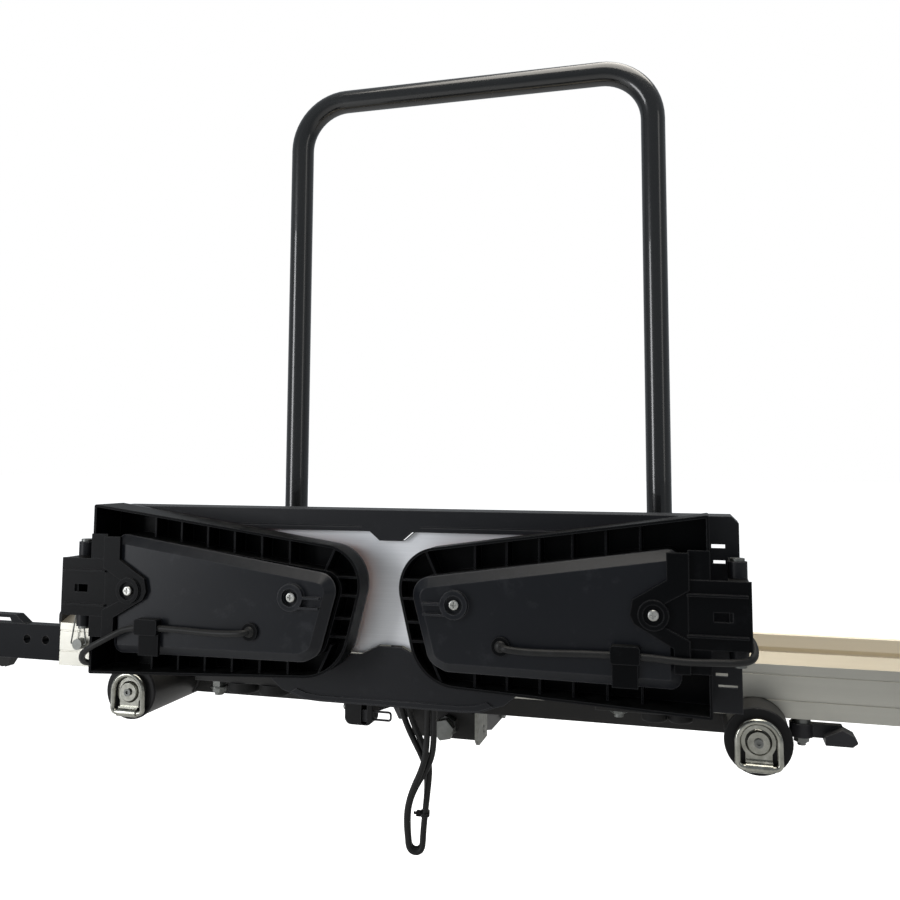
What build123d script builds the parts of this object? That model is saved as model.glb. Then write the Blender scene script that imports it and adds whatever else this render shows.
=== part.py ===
from build123d import *
import os
from math import atan2, cos, degrees, hypot, radians, sin, tan

# Tow bar motorcycle carrier, in millimetres.
# The origin is the centre of the tow ball that holds the carrier.
# +X is the right as seen from behind the car, +Y points to the car, +Z is up.

os.makedirs("parts", exist_ok=True)

# Clearances
weld_gap = 0.05        # curved seats of welded tubes
seat_gap = 0.1         # pieces laid or screwed on one another
slide_gap = 0.5        # sliding bars in the rail
pin_gap = 0.05         # pins in their holes
hoop_gap = 0.06        # hoop legs in their sockets

# Arms
arm_radius = 30.0
arm_wall = 3.0
arm_x = 335.5
arm_z = 50.0
arm_rear_y = -297.0
arm_front_y = -58.0
cap_radius = 31.0
cap_depth = 3.0
cap_plug = 18.0

# Cross beams
beam_size = 40.0
beam_wall = 3.0
rear_beam_y = -185.0
front_beam_y = -80.0
beam_z = arm_z

# Wheel rail
rail_left = -467.0
rail_right = 850.0
rail_rear_y = -255.0
rail_width = 151.0
rail_foot_z = 62.0
rail_shoulder_z = 112.3
rail_crest_z = 120.5
rail_lip_width = 25.0
rail_lip_drop = 14.5
rail_box_width = 21.0
rail_skin = 3.0
rail_floor = 4.0
rail_floor_z = arm_z + arm_radius + 0.3
rail_web_z = 108.0
groove_z = (79.1, 103.0)
groove_width = 1.6
groove_depth = 1.0
rail_middle_y = rail_rear_y + rail_width / 2

# Sliding wheel holder
bar_height = rail_web_z - rail_foot_z - rail_skin - 2 * slide_gap
bar_thickness = rail_box_width - 2 * rail_skin - 2 * slide_gap
bar_bottom_z = rail_foot_z + rail_skin + slide_gap
bar_top_z = bar_bottom_z + bar_height
far_bar_height = 12.0
far_bar_top_z = bar_bottom_z + far_bar_height
bar_y = rail_rear_y + rail_box_width / 2
bar_arm_gap = 6.5
bar_reach = 443.0
bar_inner_x = -arm_x - arm_radius - bar_arm_gap
bar_outer_x = rail_left - bar_reach
bar_hole_radius = 5.2
bar_hole_pitch = 27.2
bar_holes = 4
lock_inset = 31.0
lock_x = rail_left + lock_inset
lock_z = 89.3
pin_radius = bar_hole_radius - 0.2

# Hoop
hoop_radius = 15.0
hoop_wall = 2.0
hoop_x = 238.8
hoop_top_z = 805.0
hoop_bend = 65.0
socket_wall = 4.0
socket_length = 90.0
hoop_foot_z = beam_z + beam_size / 2 + 3.0
knob_z = 130.0

# Coupling
ball_radius = 25.0
ball_gap = 0.1
housing_half = 38.0
housing_plate = 5.0
housing_rear_y = -190.0
housing_top_z = beam_z - beam_size / 2
housing_bottom_z = -4.0
cup_front_y = 36.0
cup_rear_y = -34.0
cup_top_z = 38.0
jaw_pin_y = -52.0
jaw_pin_z = -6.0
lever_pin_y = -100.0
lever_pin_z = 14.0
coupling_pin_radius = 6.0
lever_x = -50.0
lever_thickness = 6.0
lever_height = 10.0
grip_y = -325.0
grip_z = 56.5
grip_width = 30.0
grip_height = 27.0
grip_depth = 10.0

# Light board
board_half = 320.0
board_front_y = -380.0
board_back_y = -335.0
board_top_z = 261.5
board_bottom_z = 94.0
board_wall = 3.0
board_end_inner = 294.0
fascia_bottom_z = 77.0
fascia_top_z = 124.0
bar_lower_z = 241.0
plate_half = 258.0
plate_recess = 8.0
plate_thickness = 1.5

# Lamps: u is the distance from the middle plane, the rim plane faces rearward
lamp_rim_y = -430.0
lamp_z = 100.0
lamp_outer_u = 295.0
lamp_height = 165.0
lamp_deck_y = -390.0
lamp_lens_y = -384.0
lamp_wall = 2.5
lamp_rim_set = 20.0
lamp_back_y = -432.0
lamp_back_thickness = 2.5
boss_radius = 12.5
boss_height = 5.0
well_depth = 4.0
bracket_plate = 3.9
outer_boss = (249.0, 82.5)
inner_boss = (78.0, 83.0)
grommet = (119.5, 49.5)
grommet_radius = 7.5
cable_radius = 3.0
hinge_u = 317.0
hinge_y = -409.0
hinge_pin_radius = 4.0
knuckle_radius = 8.0
tongue_outer_u = 327.0
tongue_low = 56.0
tongue_high = 112.0
tongue_thickness = 3.0
lug_height = 13.6
lug_gap = 0.4

lamp_corners = ((lamp_outer_u, 0.0), (lamp_outer_u, lamp_height), (10.0, 124.0), (39.0, 7.0))
lamp_radii = (2.0, 2.0, 38.0, 45.0)
back_corners = ((262.0, 127.0), (44.0, 95.5), (60.0, 37.0), (70.0, 32.0), (262.0, 30.0))
back_radii = (1.0, 8.0, 8.0, 8.0, 1.0)
window_corners = ((235.0, 113.0), (92.0, 93.0), (92.0, 46.0), (235.0, 44.0))
window_radii = (5.0, 5.0, 5.0, 5.0)
flank_width = 9.0
flank_height = 7.9
rib_step = 29.3
rib_first = 91.0
rib_count = 6
rib_thickness = 2.0

# Board brackets
board_screw_x = 234.0
bracket_width = 116.0
bracket_centre = {-1: -220.0, 1: 238.0}
bracket_thickness = 4.5
bracket_shelf_z = 96.5
bracket_bolt_y = rail_rear_y + rail_box_width / 2
bracket_top_z = rail_foot_z - seat_gap
left_bolt_x = -255.0
right_bolt_x = 202.5
left_bolt_low_z = 39.5
right_bolt_low_z = 49.0
bracket_bolt_radius = 5.0
board_screw_zs = (116.0, 176.0)
board_screw_radius = 3.0
flange_top_z = 190.0

# Rail clamp lever
clamp_x = 378.0
clamp_length = 37.0
clamp_reach = clamp_x + clamp_length
clamp_low_z = 44.0
clamp_high_z = 57.0
clamp_width = 8.0
clamp_hub_radius = 11.0
clamp_bolt_radius = 4.0

# Loom
loom_radius = 3.1
gland_xs = (-8.0, 24.0)
gland_z = 95.0
gland_end_y = -348.0
strand_offset = 3.3


def facing(y):
    return Plane.XZ.offset(-y)


def side(x):
    return Plane.YZ.offset(x)


def level(z):
    return Plane.XY.offset(z)


def save(piece, name):
    piece.label = name
    export_step(piece, f"parts/{name}.step")


def pipe(points, radius, bends, name):
    # Sweeps a round section along straight runs joined by tangent bends
    with BuildPart() as tube:
        with BuildLine() as route:
            FilletPolyline(*points, radius=bends)
        start = route.line @ 0
        with BuildSketch(Plane(origin=start, z_dir=route.line % 0)):
            Circle(radius)
        sweep()
    return tube.part


def bend_radii(points, limit):
    # Each bend takes 0.45 of the shorter run beside it
    radii = []
    for before, here, after in zip(points, points[1:], points[2:]):
        run_in = [here[i] - before[i] for i in range(3)]
        run_out = [after[i] - here[i] for i in range(3)]
        length_in = hypot(*run_in)
        length_out = hypot(*run_out)
        dot = sum(a * b for a, b in zip(run_in, run_out)) / (length_in * length_out)
        half = atan2(max(0.0, 1 - dot * dot) ** 0.5, dot) / 2
        radii.append(min(limit, 0.45 * min(length_in, length_out) / tan(half)))
    return radii


# Arms with their caps
for name, x in (("arm_left", -arm_x), ("arm_right", arm_x)):
    with BuildPart() as arm:
        with BuildSketch(facing(arm_rear_y)):
            with Locations((x, arm_z)):
                Circle(arm_radius)
                Circle(arm_radius - arm_wall, mode=Mode.SUBTRACT)
        extrude(amount=-(arm_front_y - arm_rear_y))
    save(arm.part, name)

with BuildPart() as arm_caps:
    for x in (-arm_x, arm_x):
        for end_y, outward in ((arm_rear_y, 1), (arm_front_y, -1)):
            with BuildSketch(facing(end_y)):
                with Locations((x, arm_z)):
                    Circle(cap_radius)
            extrude(amount=outward * cap_depth)
            with BuildSketch(facing(end_y)):
                with Locations((x, arm_z)):
                    Circle(arm_radius - arm_wall - seat_gap)
            extrude(amount=-outward * cap_plug)
    fillet(arm_caps.edges().filter_by(GeomType.CIRCLE).filter_by(
        lambda e: e.radius > cap_radius - 0.1 and (
            e.center().Y < arm_rear_y - cap_depth + 0.1
            or e.center().Y > arm_front_y + cap_depth - 0.1)), radius=1.5)
save(arm_caps.part, "arm_caps")

# Lashing plates, screws and D-rings on the rear caps
ring_face_y = arm_rear_y - cap_depth
ring_wire = 2.9
ring_half = 18.8
ring_bar_z = arm_z - 22.2
ring_top_z = arm_z + 19.2
ring_bar_y = ring_face_y - ring_wire - 1.6
plate_radius = 15.6
clip_half = 12.0
dome_radius = 12.0
dome_height = 3.0

with BuildPart() as ring_plates:
    for x in (-arm_x, arm_x):
        with BuildSketch(facing(ring_face_y)):
            with Locations((x, arm_z)):
                Circle(plate_radius)
            with Locations((x, arm_z - 9)):
                Rectangle(2 * clip_half, 18)
        extrude(amount=1.5)
        with BuildSketch(facing(ring_face_y - 1.5)):
            with Locations((x, arm_z)):
                Circle(dome_radius)
        extrude(amount=dome_height, taper=35)
        with BuildSketch(side(x - clip_half)):
            with Locations((ring_bar_y, ring_bar_z)):
                Circle(ring_wire + 1.5 + pin_gap)
            with Locations((ring_bar_y + 2.25, ring_bar_z + 3.0)):
                Rectangle(4.5, 6.0)
            with Locations((ring_bar_y, ring_bar_z)):
                Circle(ring_wire + pin_gap, mode=Mode.SUBTRACT)
        extrude(amount=2 * clip_half)
save(ring_plates.part, "ring_plates")

with BuildPart() as ring_screws:
    for x in (-arm_x, arm_x):
        with BuildSketch(facing(ring_face_y - 1.5 - dome_height)):
            with Locations((x, arm_z)):
                Circle(4.2)
        extrude(amount=2.2)
        with BuildSketch(facing(ring_face_y - 1.5 - dome_height - 2.2)):
            with Locations((x, arm_z)):
                RegularPolygon(2.0, 6)
        extrude(amount=-1.6, mode=Mode.SUBTRACT)
save(ring_screws.part, "ring_screws")

for name, x in (("d_ring_left", -arm_x), ("d_ring_right", arm_x)):
    with BuildPart() as d_ring:
        with BuildLine() as ring_line:
            FilletPolyline((x - ring_half, ring_bar_y, ring_bar_z), (x - ring_half, ring_bar_y, ring_top_z),
                           (x + ring_half, ring_bar_y, ring_top_z), (x + ring_half, ring_bar_y, ring_bar_z),
                           close=True, radius=[5, 18, 18, 5])
        with BuildSketch(Plane(origin=ring_line.line @ 0, z_dir=ring_line.line % 0)):
            Circle(ring_wire)
        sweep()
    save(d_ring.part, name)

# Cross beams, cut to the arms
for name, y in (("rear_beam", rear_beam_y), ("front_beam", front_beam_y)):
    with BuildPart() as beam:
        with BuildSketch(side(-arm_x)):
            with Locations((y, beam_z)):
                Rectangle(beam_size, beam_size)
                Rectangle(beam_size - 2 * beam_wall, beam_size - 2 * beam_wall, mode=Mode.SUBTRACT)
        extrude(amount=2 * arm_x)
        with BuildSketch(facing(y - beam_size)):
            with Locations((-arm_x, arm_z), (arm_x, arm_z)):
                Circle(arm_radius + weld_gap)
        extrude(amount=-2 * beam_size, mode=Mode.SUBTRACT)
    save(beam.part, name)

# Wheel rail: two hollow side walls on a floor plate
rear_wall = [(0, rail_foot_z), (0, rail_shoulder_z), (rail_lip_width - 4, rail_crest_z),
             (rail_lip_width, rail_crest_z - 1.2), (rail_lip_width, rail_crest_z - rail_lip_drop),
             (rail_box_width, rail_crest_z - rail_lip_drop - 4), (rail_box_width, rail_foot_z)]
box_inner = rail_box_width - 2 * rail_skin
upper_hollow = [(rail_skin, rail_web_z + rail_skin), (rail_box_width - rail_skin, rail_web_z + rail_skin),
                (rail_box_width - rail_skin, rail_crest_z - rail_skin - 1.4),
                (rail_skin + 1.0, rail_shoulder_z + 0.4)]

with BuildPart() as rail:
    with BuildSketch(side(rail_left)):
        with Locations((rail_middle_y, rail_floor_z + rail_floor / 2)):
            Rectangle(rail_width - 2 * rail_box_width + 0.02, rail_floor)
        for mirrored in (False, True):
            with BuildLine(mode=Mode.PRIVATE) as outline:
                Polyline([(rail_rear_y + p, q) for p, q in rear_wall], close=True)
            with BuildLine(mode=Mode.PRIVATE) as hollow:
                Polyline([(rail_rear_y + p, q) for p, q in upper_hollow], close=True)
            wall_face = make_face(outline.line, mode=Mode.PRIVATE)
            hollow_face = make_face(hollow.line, mode=Mode.PRIVATE)
            box_y = rail_rear_y + rail_box_width / 2
            box_z = (rail_foot_z + rail_skin + rail_web_z) / 2
            slot_face = Pos(box_y, box_z) * Rectangle(box_inner, rail_web_z - rail_foot_z - rail_skin,
                                                      mode=Mode.PRIVATE)
            wall_section = wall_face - hollow_face - slot_face
            for z in groove_z:
                wall_section -= Pos(rail_rear_y, z) * Rectangle(2 * groove_depth, groove_width,
                                                               mode=Mode.PRIVATE)
            if mirrored:
                wall_section = mirror(wall_section, about=Plane.YZ.offset(rail_middle_y), mode=Mode.PRIVATE)
            add(wall_section)
    extrude(amount=rail_right - rail_left)
    with BuildSketch(facing(rail_rear_y - 5)):
        with Locations((-arm_x, arm_z), (arm_x, arm_z)):
            Circle(arm_radius + 0.3)
    extrude(amount=-(rail_width + 10), mode=Mode.SUBTRACT)
    with BuildSketch(facing(rail_rear_y - 5)):
        with Locations((lock_x, lock_z)):
            Circle(bar_hole_radius)
    extrude(amount=-(rail_box_width + 8), mode=Mode.SUBTRACT)
    with BuildSketch(level(rail_foot_z - 1)):
        with Locations((left_bolt_x, bar_y), (right_bolt_x, bar_y)):
            Circle(bracket_bolt_radius + pin_gap)
        with Locations((clamp_x, bar_y)):
            Circle(clamp_bolt_radius + pin_gap)
    extrude(amount=rail_skin + 2, mode=Mode.SUBTRACT)
save(rail.part, "wheel_rail")

# Rail end caps
cap_thickness = 4.0
cap_rise = 5.5
end_cap_margin = 2.0
with BuildPart() as rail_end_caps:
    with BuildSketch(side(rail_left - seat_gap)):
        with Locations((rail_middle_y, (rail_web_z + seat_gap + rail_crest_z + cap_rise) / 2)):
            cap_height = rail_crest_z + cap_rise - rail_web_z - seat_gap
            RectangleRounded(rail_width - 2 * end_cap_margin, cap_height, 6)
    extrude(amount=-cap_thickness)
    with BuildSketch(side(rail_left - seat_gap)):
        with Locations((rail_middle_y, (rail_floor_z + rail_floor + rail_web_z + 4) / 2 + 0.4)):
            Rectangle(rail_width - 2 * rail_lip_width - 8, rail_web_z + 4 - rail_floor_z - rail_floor)
    extrude(amount=-cap_thickness)
    with BuildSketch(side(rail_left - seat_gap - 0.01)):
        with Locations((rail_middle_y, rail_floor_z + rail_floor + 10.2)):
            Rectangle(rail_width - 2 * rail_lip_width - 8, 20)
    extrude(amount=14)
    with BuildSketch(side(rail_right + seat_gap)):
        with Locations((rail_middle_y, (rail_foot_z + rail_crest_z + cap_rise) / 2)):
            RectangleRounded(rail_width + 2, rail_crest_z + cap_rise - rail_foot_z, 8)
    extrude(amount=cap_thickness)
    with BuildSketch(side(rail_right + seat_gap + 0.01)):
        with Locations((rail_middle_y, rail_floor_z + rail_floor + 10.2)):
            Rectangle(rail_width - 2 * rail_lip_width - 8, 20)
    extrude(amount=-14)
save(rail_end_caps.part, "rail_end_caps")

# Slider bars of the wheel holder: a tall one with the lock holes and a low guide in the far wall
far_bar_y = 2 * rail_middle_y - bar_y
bar_middle_x = (bar_inner_x + bar_outer_x) / 2
bar_length = bar_inner_x - bar_outer_x
hole_xs = [lock_x - i * bar_hole_pitch for i in range(bar_holes)]
with BuildPart() as slider_bars:
    with BuildSketch(facing(bar_y - bar_thickness / 2)):
        with Locations((bar_middle_x, (bar_bottom_z + bar_top_z) / 2)):
            Rectangle(bar_length, bar_height)
        with Locations(*[(x, lock_z) for x in hole_xs]):
            Circle(bar_hole_radius, mode=Mode.SUBTRACT)
    extrude(amount=-bar_thickness)
    with BuildSketch(facing(far_bar_y - bar_thickness / 2)):
        with Locations((bar_middle_x, (bar_bottom_z + far_bar_top_z) / 2)):
            Rectangle(bar_length, far_bar_height)
    extrude(amount=-bar_thickness)
save(slider_bars.part, "slider_bars")

# Chock base: a shoe on the tall bar, a deck to the low bar's leg and two cheeks for the cradle
chock_distance = 55.0
chock_right_x = rail_left - chock_distance
chock_top_z = bar_top_z + 10.5
chock_plate = 4.0
chock_slope = 14.0
deck_distance = 228.0
deck_right_x = rail_left - deck_distance
deck_length = deck_right_x - bar_outer_x
deck_middle_x = (deck_right_x + bar_outer_x) / 2
cheek_half = 50.0
cheek_plate = 5.0
cradle_distance = 333.0
cradle_x = rail_left - cradle_distance
cradle_pivot_z = chock_top_z + 26.0
cradle_pin_radius = 6.0
chock_width = far_bar_y - bar_y + bar_thickness
with BuildPart() as chock_base:
    with BuildSketch(facing(bar_y - bar_thickness / 2)):
        with BuildLine():
            Polyline((bar_outer_x, bar_top_z + seat_gap), (chock_right_x, bar_top_z + seat_gap),
                     (chock_right_x - chock_slope, chock_top_z), (bar_outer_x, chock_top_z), close=True)
        make_face()
        with BuildLine():
            Polyline((bar_outer_x + chock_plate, bar_top_z - 1),
                     (chock_right_x - chock_slope - chock_plate, bar_top_z - 1),
                     (chock_right_x - chock_slope - 2 * chock_plate, chock_top_z - chock_plate),
                     (bar_outer_x + chock_plate, chock_top_z - chock_plate), close=True)
        make_face(mode=Mode.SUBTRACT)
    extrude(amount=-bar_thickness)
    with BuildSketch(facing(bar_y - bar_thickness / 2)):
        with Locations((deck_middle_x, chock_top_z - chock_plate / 2)):
            Rectangle(deck_length, chock_plate)
    extrude(amount=-chock_width)
    with BuildSketch(facing(far_bar_y - chock_plate / 2)):
        with Locations((deck_middle_x, (far_bar_top_z + seat_gap + chock_top_z) / 2)):
            Rectangle(deck_length, chock_top_z - far_bar_top_z - seat_gap)
    extrude(amount=-chock_plate)
    for y in (rail_middle_y - cheek_half, rail_middle_y + cheek_half - cheek_plate):
        with BuildSketch(facing(y)):
            with BuildLine():
                Polyline((cradle_x - 45, chock_top_z - 1), (cradle_x + 45, chock_top_z - 1),
                         (cradle_x + 14, cradle_pivot_z + 8), (cradle_x - 14, cradle_pivot_z + 8), close=True)
            make_face()
            with Locations((cradle_x, cradle_pivot_z)):
                Circle(cradle_pin_radius + pin_gap, mode=Mode.SUBTRACT)
        extrude(amount=-cheek_plate)
save(chock_base.part, "chock_base")

# Toothed rubber pads under the bars
pad_near = 72.0
pad_length = 44.0
pad_right_x = rail_left - pad_near
pad_left_x = pad_right_x - pad_length
pad_depth = 11.5
tooth_count = 6
tooth_pitch = (pad_right_x - 8 - pad_left_x) / tooth_count
with BuildPart() as chock_pads:
    for y in (bar_y, far_bar_y):
        with BuildSketch(facing(y - bar_thickness / 2)):
            with BuildLine():
                Polyline((pad_left_x, bar_bottom_z - seat_gap), (pad_right_x, bar_bottom_z - seat_gap),
                         (pad_right_x - 8, bar_bottom_z - pad_depth), (pad_left_x, bar_bottom_z - pad_depth),
                         close=True)
            make_face()
            for i in range(tooth_count):
                with Locations((pad_left_x + (i + 0.5) * tooth_pitch, bar_bottom_z - pad_depth)):
                    Rectangle(tooth_pitch * 0.45, 3.0, mode=Mode.SUBTRACT)
        extrude(amount=-bar_thickness)
save(chock_pads.part, "chock_pads")

# Rocking cradle of the front wheel
tyre_radius = 300.0
cradle_plate = 4.0
cradle_reach = 12.0
cradle_half = cheek_half - cheek_plate - 1.0
cradle_floor_z = cradle_pivot_z + 10.0
arc_z = cradle_floor_z + tyre_radius


def on_tyre(radius, angle):
    return (cradle_x + radius * sin(radians(angle)), arc_z - radius * cos(radians(angle)))


with BuildPart() as wheel_cradle:
    with BuildSketch(facing(rail_middle_y - cradle_half)):
        with BuildLine():
            inner = ThreePointArc(on_tyre(tyre_radius, -cradle_reach), on_tyre(tyre_radius, 0),
                                  on_tyre(tyre_radius, cradle_reach))
            outer = ThreePointArc(on_tyre(tyre_radius + cradle_plate, cradle_reach),
                                  on_tyre(tyre_radius + cradle_plate, 0),
                                  on_tyre(tyre_radius + cradle_plate, -cradle_reach))
            Line(inner @ 1, outer @ 0)
            Line(outer @ 1, inner @ 0)
        make_face()
    extrude(amount=-2 * cradle_half)
    for y in (rail_middle_y - cradle_half, rail_middle_y + cradle_half - cradle_plate):
        with BuildSketch(facing(y)):
            with BuildLine():
                wall_top = 38.0
                low = ThreePointArc(on_tyre(tyre_radius + 0.5, -cradle_reach), on_tyre(tyre_radius + 0.5, 0),
                                    on_tyre(tyre_radius + 0.5, cradle_reach))
                high = ThreePointArc(on_tyre(tyre_radius - wall_top, cradle_reach * 0.8),
                                     on_tyre(tyre_radius - wall_top + 8, 0),
                                     on_tyre(tyre_radius - wall_top, -cradle_reach * 0.8))
                Line(low @ 1, high @ 0)
                Line(high @ 1, low @ 0)
            make_face()
        extrude(amount=-cradle_plate)
    with BuildSketch(facing(rail_middle_y - cradle_half)):
        with Locations((cradle_x, cradle_pivot_z)):
            Circle(10)
        with Locations((cradle_x, cradle_pivot_z + 7)):
            Rectangle(14, 12)
    extrude(amount=-2 * cradle_half)
    with BuildSketch(facing(rail_middle_y - cradle_half - 1)):
        with Locations((cradle_x, cradle_pivot_z)):
            Circle(cradle_pin_radius + pin_gap)
    extrude(amount=-2 * cradle_half - 2, mode=Mode.SUBTRACT)
save(wheel_cradle.part, "wheel_cradle")

with BuildPart() as cradle_pin:
    with BuildSketch(facing(rail_middle_y - cheek_half - 4)):
        with Locations((cradle_x, cradle_pivot_z)):
            Circle(cradle_pin_radius)
    extrude(amount=-2 * cheek_half - 8)
    for y, way in ((rail_middle_y - cheek_half - seat_gap, 1), (rail_middle_y + cheek_half + seat_gap, -1)):
        with BuildSketch(facing(y)):
            with Locations((cradle_x, cradle_pivot_z)):
                Circle(10)
        extrude(amount=way * 4)
save(cradle_pin.part, "cradle_pin")

# Lock pin of the wheel holder with its wire bail
head_radius = 6.5
head_length = 9.0
pin_tip_gap = 0.3      # the shank is drawn up to the bar's face, so that the bar can slide
pin_reach = rail_skin + slide_gap - pin_tip_gap - seat_gap
bail_wire = 0.9
bail_half = 7.5
bail_height = 36.0
bail_y = rail_rear_y - head_length + 3.0
with BuildPart() as lock_pin:
    with BuildSketch(facing(rail_rear_y - seat_gap)):
        with Locations((lock_x, lock_z)):
            Circle(head_radius)
    extrude(amount=head_length)
    with BuildSketch(facing(rail_rear_y - seat_gap)):
        with Locations((lock_x, lock_z)):
            Circle(pin_radius)
    extrude(amount=-pin_reach)
    with BuildSketch(side(lock_x - head_radius - 1)):
        with Locations((bail_y, lock_z)):
            Circle(bail_wire + pin_gap)
    extrude(amount=2 * head_radius + 2, mode=Mode.SUBTRACT)
save(lock_pin.part, "lock_pin")

with BuildPart() as pin_bail:
    with BuildLine():
        FilletPolyline((lock_x - 3.5, bail_y, lock_z), (lock_x - bail_half - 3, bail_y, lock_z),
                       (lock_x - bail_half + 3, bail_y, lock_z + bail_height),
                       (lock_x + bail_half - 3, bail_y, lock_z + bail_height),
                       (lock_x + bail_half + 3, bail_y, lock_z), (lock_x + 3.5, bail_y, lock_z),
                       radius=[1.8, 4, 4, 1.8])
    with BuildSketch(Plane(origin=(lock_x - 3.5, bail_y, lock_z), z_dir=(-1, 0, 0))):
        Circle(bail_wire)
    sweep()
save(pin_bail.part, "pin_bail")

# Hoop and its sockets
with BuildPart() as hoop:
    for inner in (False, True):
        radius = hoop_radius - hoop_wall if inner else hoop_radius
        with BuildLine(mode=Mode.PRIVATE) as hoop_line:
            FilletPolyline((-hoop_x, front_beam_y, hoop_foot_z), (-hoop_x, front_beam_y, hoop_top_z),
                           (hoop_x, front_beam_y, hoop_top_z), (hoop_x, front_beam_y, hoop_foot_z),
                           radius=hoop_bend)
        with BuildSketch(Plane(origin=(-hoop_x, front_beam_y, hoop_foot_z), z_dir=(0, 0, 1))):
            Circle(radius)
        sweep(path=hoop_line.line, mode=Mode.SUBTRACT if inner else Mode.ADD)
save(hoop.part, "hoop")

socket_foot_z = beam_z + beam_size / 2
socket_radius = hoop_radius + hoop_gap + socket_wall
with BuildPart() as hoop_sockets:
    for x in (-hoop_x, hoop_x):
        with BuildSketch(level(socket_foot_z)):
            with Locations((x, front_beam_y)):
                Circle(socket_radius)
        extrude(amount=socket_length)
        with BuildSketch(side(x)):
            with Locations((front_beam_y, knob_z)):
                Circle(8)
        extrude(amount=(1 if x > 0 else -1) * (socket_radius + 5))
        with BuildSketch(level(socket_foot_z + 3.0)):
            with Locations((x, front_beam_y)):
                Circle(hoop_radius + hoop_gap)
        extrude(amount=socket_length, mode=Mode.SUBTRACT)
        with BuildSketch(side(x)):
            with Locations((front_beam_y, knob_z)):
                Circle(4 + pin_gap)
        extrude(amount=(1 if x > 0 else -1) * (socket_radius + 6), mode=Mode.SUBTRACT)
save(hoop_sockets.part, "hoop_sockets")

for name, way in (("hoop_knob_left", -1), ("hoop_knob_right", 1)):
    screw_from = way * (hoop_x + hoop_radius + 0.4)
    knob_from = way * (hoop_x + socket_radius + 6.0)
    with BuildPart() as hoop_knob:
        with BuildSketch(side(screw_from)):
            with Locations((front_beam_y, knob_z)):
                Circle(4)
        extrude(amount=knob_from - screw_from + way * 2)
        with BuildSketch(side(knob_from)):
            with Locations((front_beam_y, knob_z)):
                Circle(15)
                with PolarLocations(15, 6):
                    Circle(5)
        extrude(amount=way * 16)
        with BuildSketch(side(knob_from)):
            with Locations((front_beam_y, knob_z)):
                with PolarLocations(20.5, 6, start_angle=30):
                    Circle(7)
        extrude(amount=way * 17, mode=Mode.SUBTRACT)
    save(hoop_knob.part, name)

# Coupling housing: top plate, rear plate and two side plates
with BuildPart() as coupling_housing:
    for x in (-housing_half, housing_half - housing_plate):
        with BuildSketch(side(x)):
            with BuildLine():
                Polyline((housing_rear_y, housing_bottom_z), (-150, housing_bottom_z), (-110, -14),
                         (cup_front_y, -18), (cup_front_y, cup_top_z), (cup_rear_y, cup_top_z),
                         (cup_rear_y, housing_top_z), (housing_rear_y, housing_top_z), close=True)
            make_face()
            with Locations((jaw_pin_y, jaw_pin_z), (lever_pin_y, lever_pin_z)):
                Circle(coupling_pin_radius + pin_gap, mode=Mode.SUBTRACT)
        extrude(amount=housing_plate)
    with BuildSketch(level(housing_top_z)):
        with Locations((0, (housing_rear_y + cup_rear_y) / 2)):
            Rectangle(2 * housing_half, cup_rear_y - housing_rear_y)
    extrude(amount=-housing_plate)
    with BuildSketch(facing(housing_rear_y)):
        with Locations((0, (housing_top_z + housing_bottom_z) / 2)):
            Rectangle(2 * housing_half, housing_top_z - housing_bottom_z)
    extrude(amount=-housing_plate)
    with BuildSketch(facing(housing_rear_y - 1)):
        with Locations((6, 11)):
            Circle(7 + pin_gap)
    extrude(amount=-housing_plate - 2, mode=Mode.SUBTRACT)
save(coupling_housing.part, "coupling_housing")

# Ball cup: a half sphere with a short straight band, and a skirt in front of the ball
cup_half = housing_half - housing_plate - seat_gap
cup_floor_z = -2.0
cup_band_top_z = 4.0
skirt_depth = 14.0
skirt_gap = 0.9
neck_radius = 15.0
with BuildPart() as ball_cup:
    with BuildSketch(level(cup_floor_z)):
        with Locations((0, (cup_front_y + cup_rear_y) / 2)):
            Rectangle(2 * cup_half, cup_front_y - cup_rear_y)
    extrude(amount=cup_top_z - cup_floor_z)
    with BuildSketch(level(cup_floor_z)):
        with Locations((0, (cup_front_y + ball_radius) / 2)):
            Rectangle(2 * cup_half, cup_front_y - ball_radius)
    extrude(amount=-skirt_depth)
    fillet(ball_cup.edges().filter_by(Axis.X).group_by(Axis.Z)[-1], radius=8)
    Sphere(ball_radius + ball_gap, mode=Mode.SUBTRACT)
    with BuildSketch(level(cup_floor_z - skirt_depth - 1)):
        Circle(ball_radius + skirt_gap)
    extrude(amount=skirt_depth + 1, mode=Mode.SUBTRACT)
    with BuildSketch(level(cup_floor_z)):
        Circle(ball_radius + ball_gap)
    extrude(amount=cup_band_top_z - cup_floor_z, mode=Mode.SUBTRACT)
save(ball_cup.part, "ball_cup")

# Moving jaw behind the ball
jaw_half = 22.0
jaw_top_z = -4.5
with BuildPart() as coupling_jaw:
    with BuildSketch(side(-jaw_half)):
        with BuildLine():
            Polyline((jaw_pin_y, jaw_top_z), (-neck_radius, jaw_top_z), (-neck_radius, -24), (-34, -25),
                     (jaw_pin_y, jaw_pin_z - 9), close=True)
        make_face()
    extrude(amount=2 * jaw_half)
    with BuildSketch(side(-cup_half)):
        with Locations((jaw_pin_y, jaw_pin_z)):
            Circle(10)
    extrude(amount=2 * cup_half)
    with BuildSketch(side(-cup_half - 1)):
        with Locations((jaw_pin_y, jaw_pin_z)):
            Circle(coupling_pin_radius + pin_gap)
    extrude(amount=2 * cup_half + 2, mode=Mode.SUBTRACT)
    Sphere(ball_radius + ball_gap, mode=Mode.SUBTRACT)
save(coupling_jaw.part, "coupling_jaw")

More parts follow.
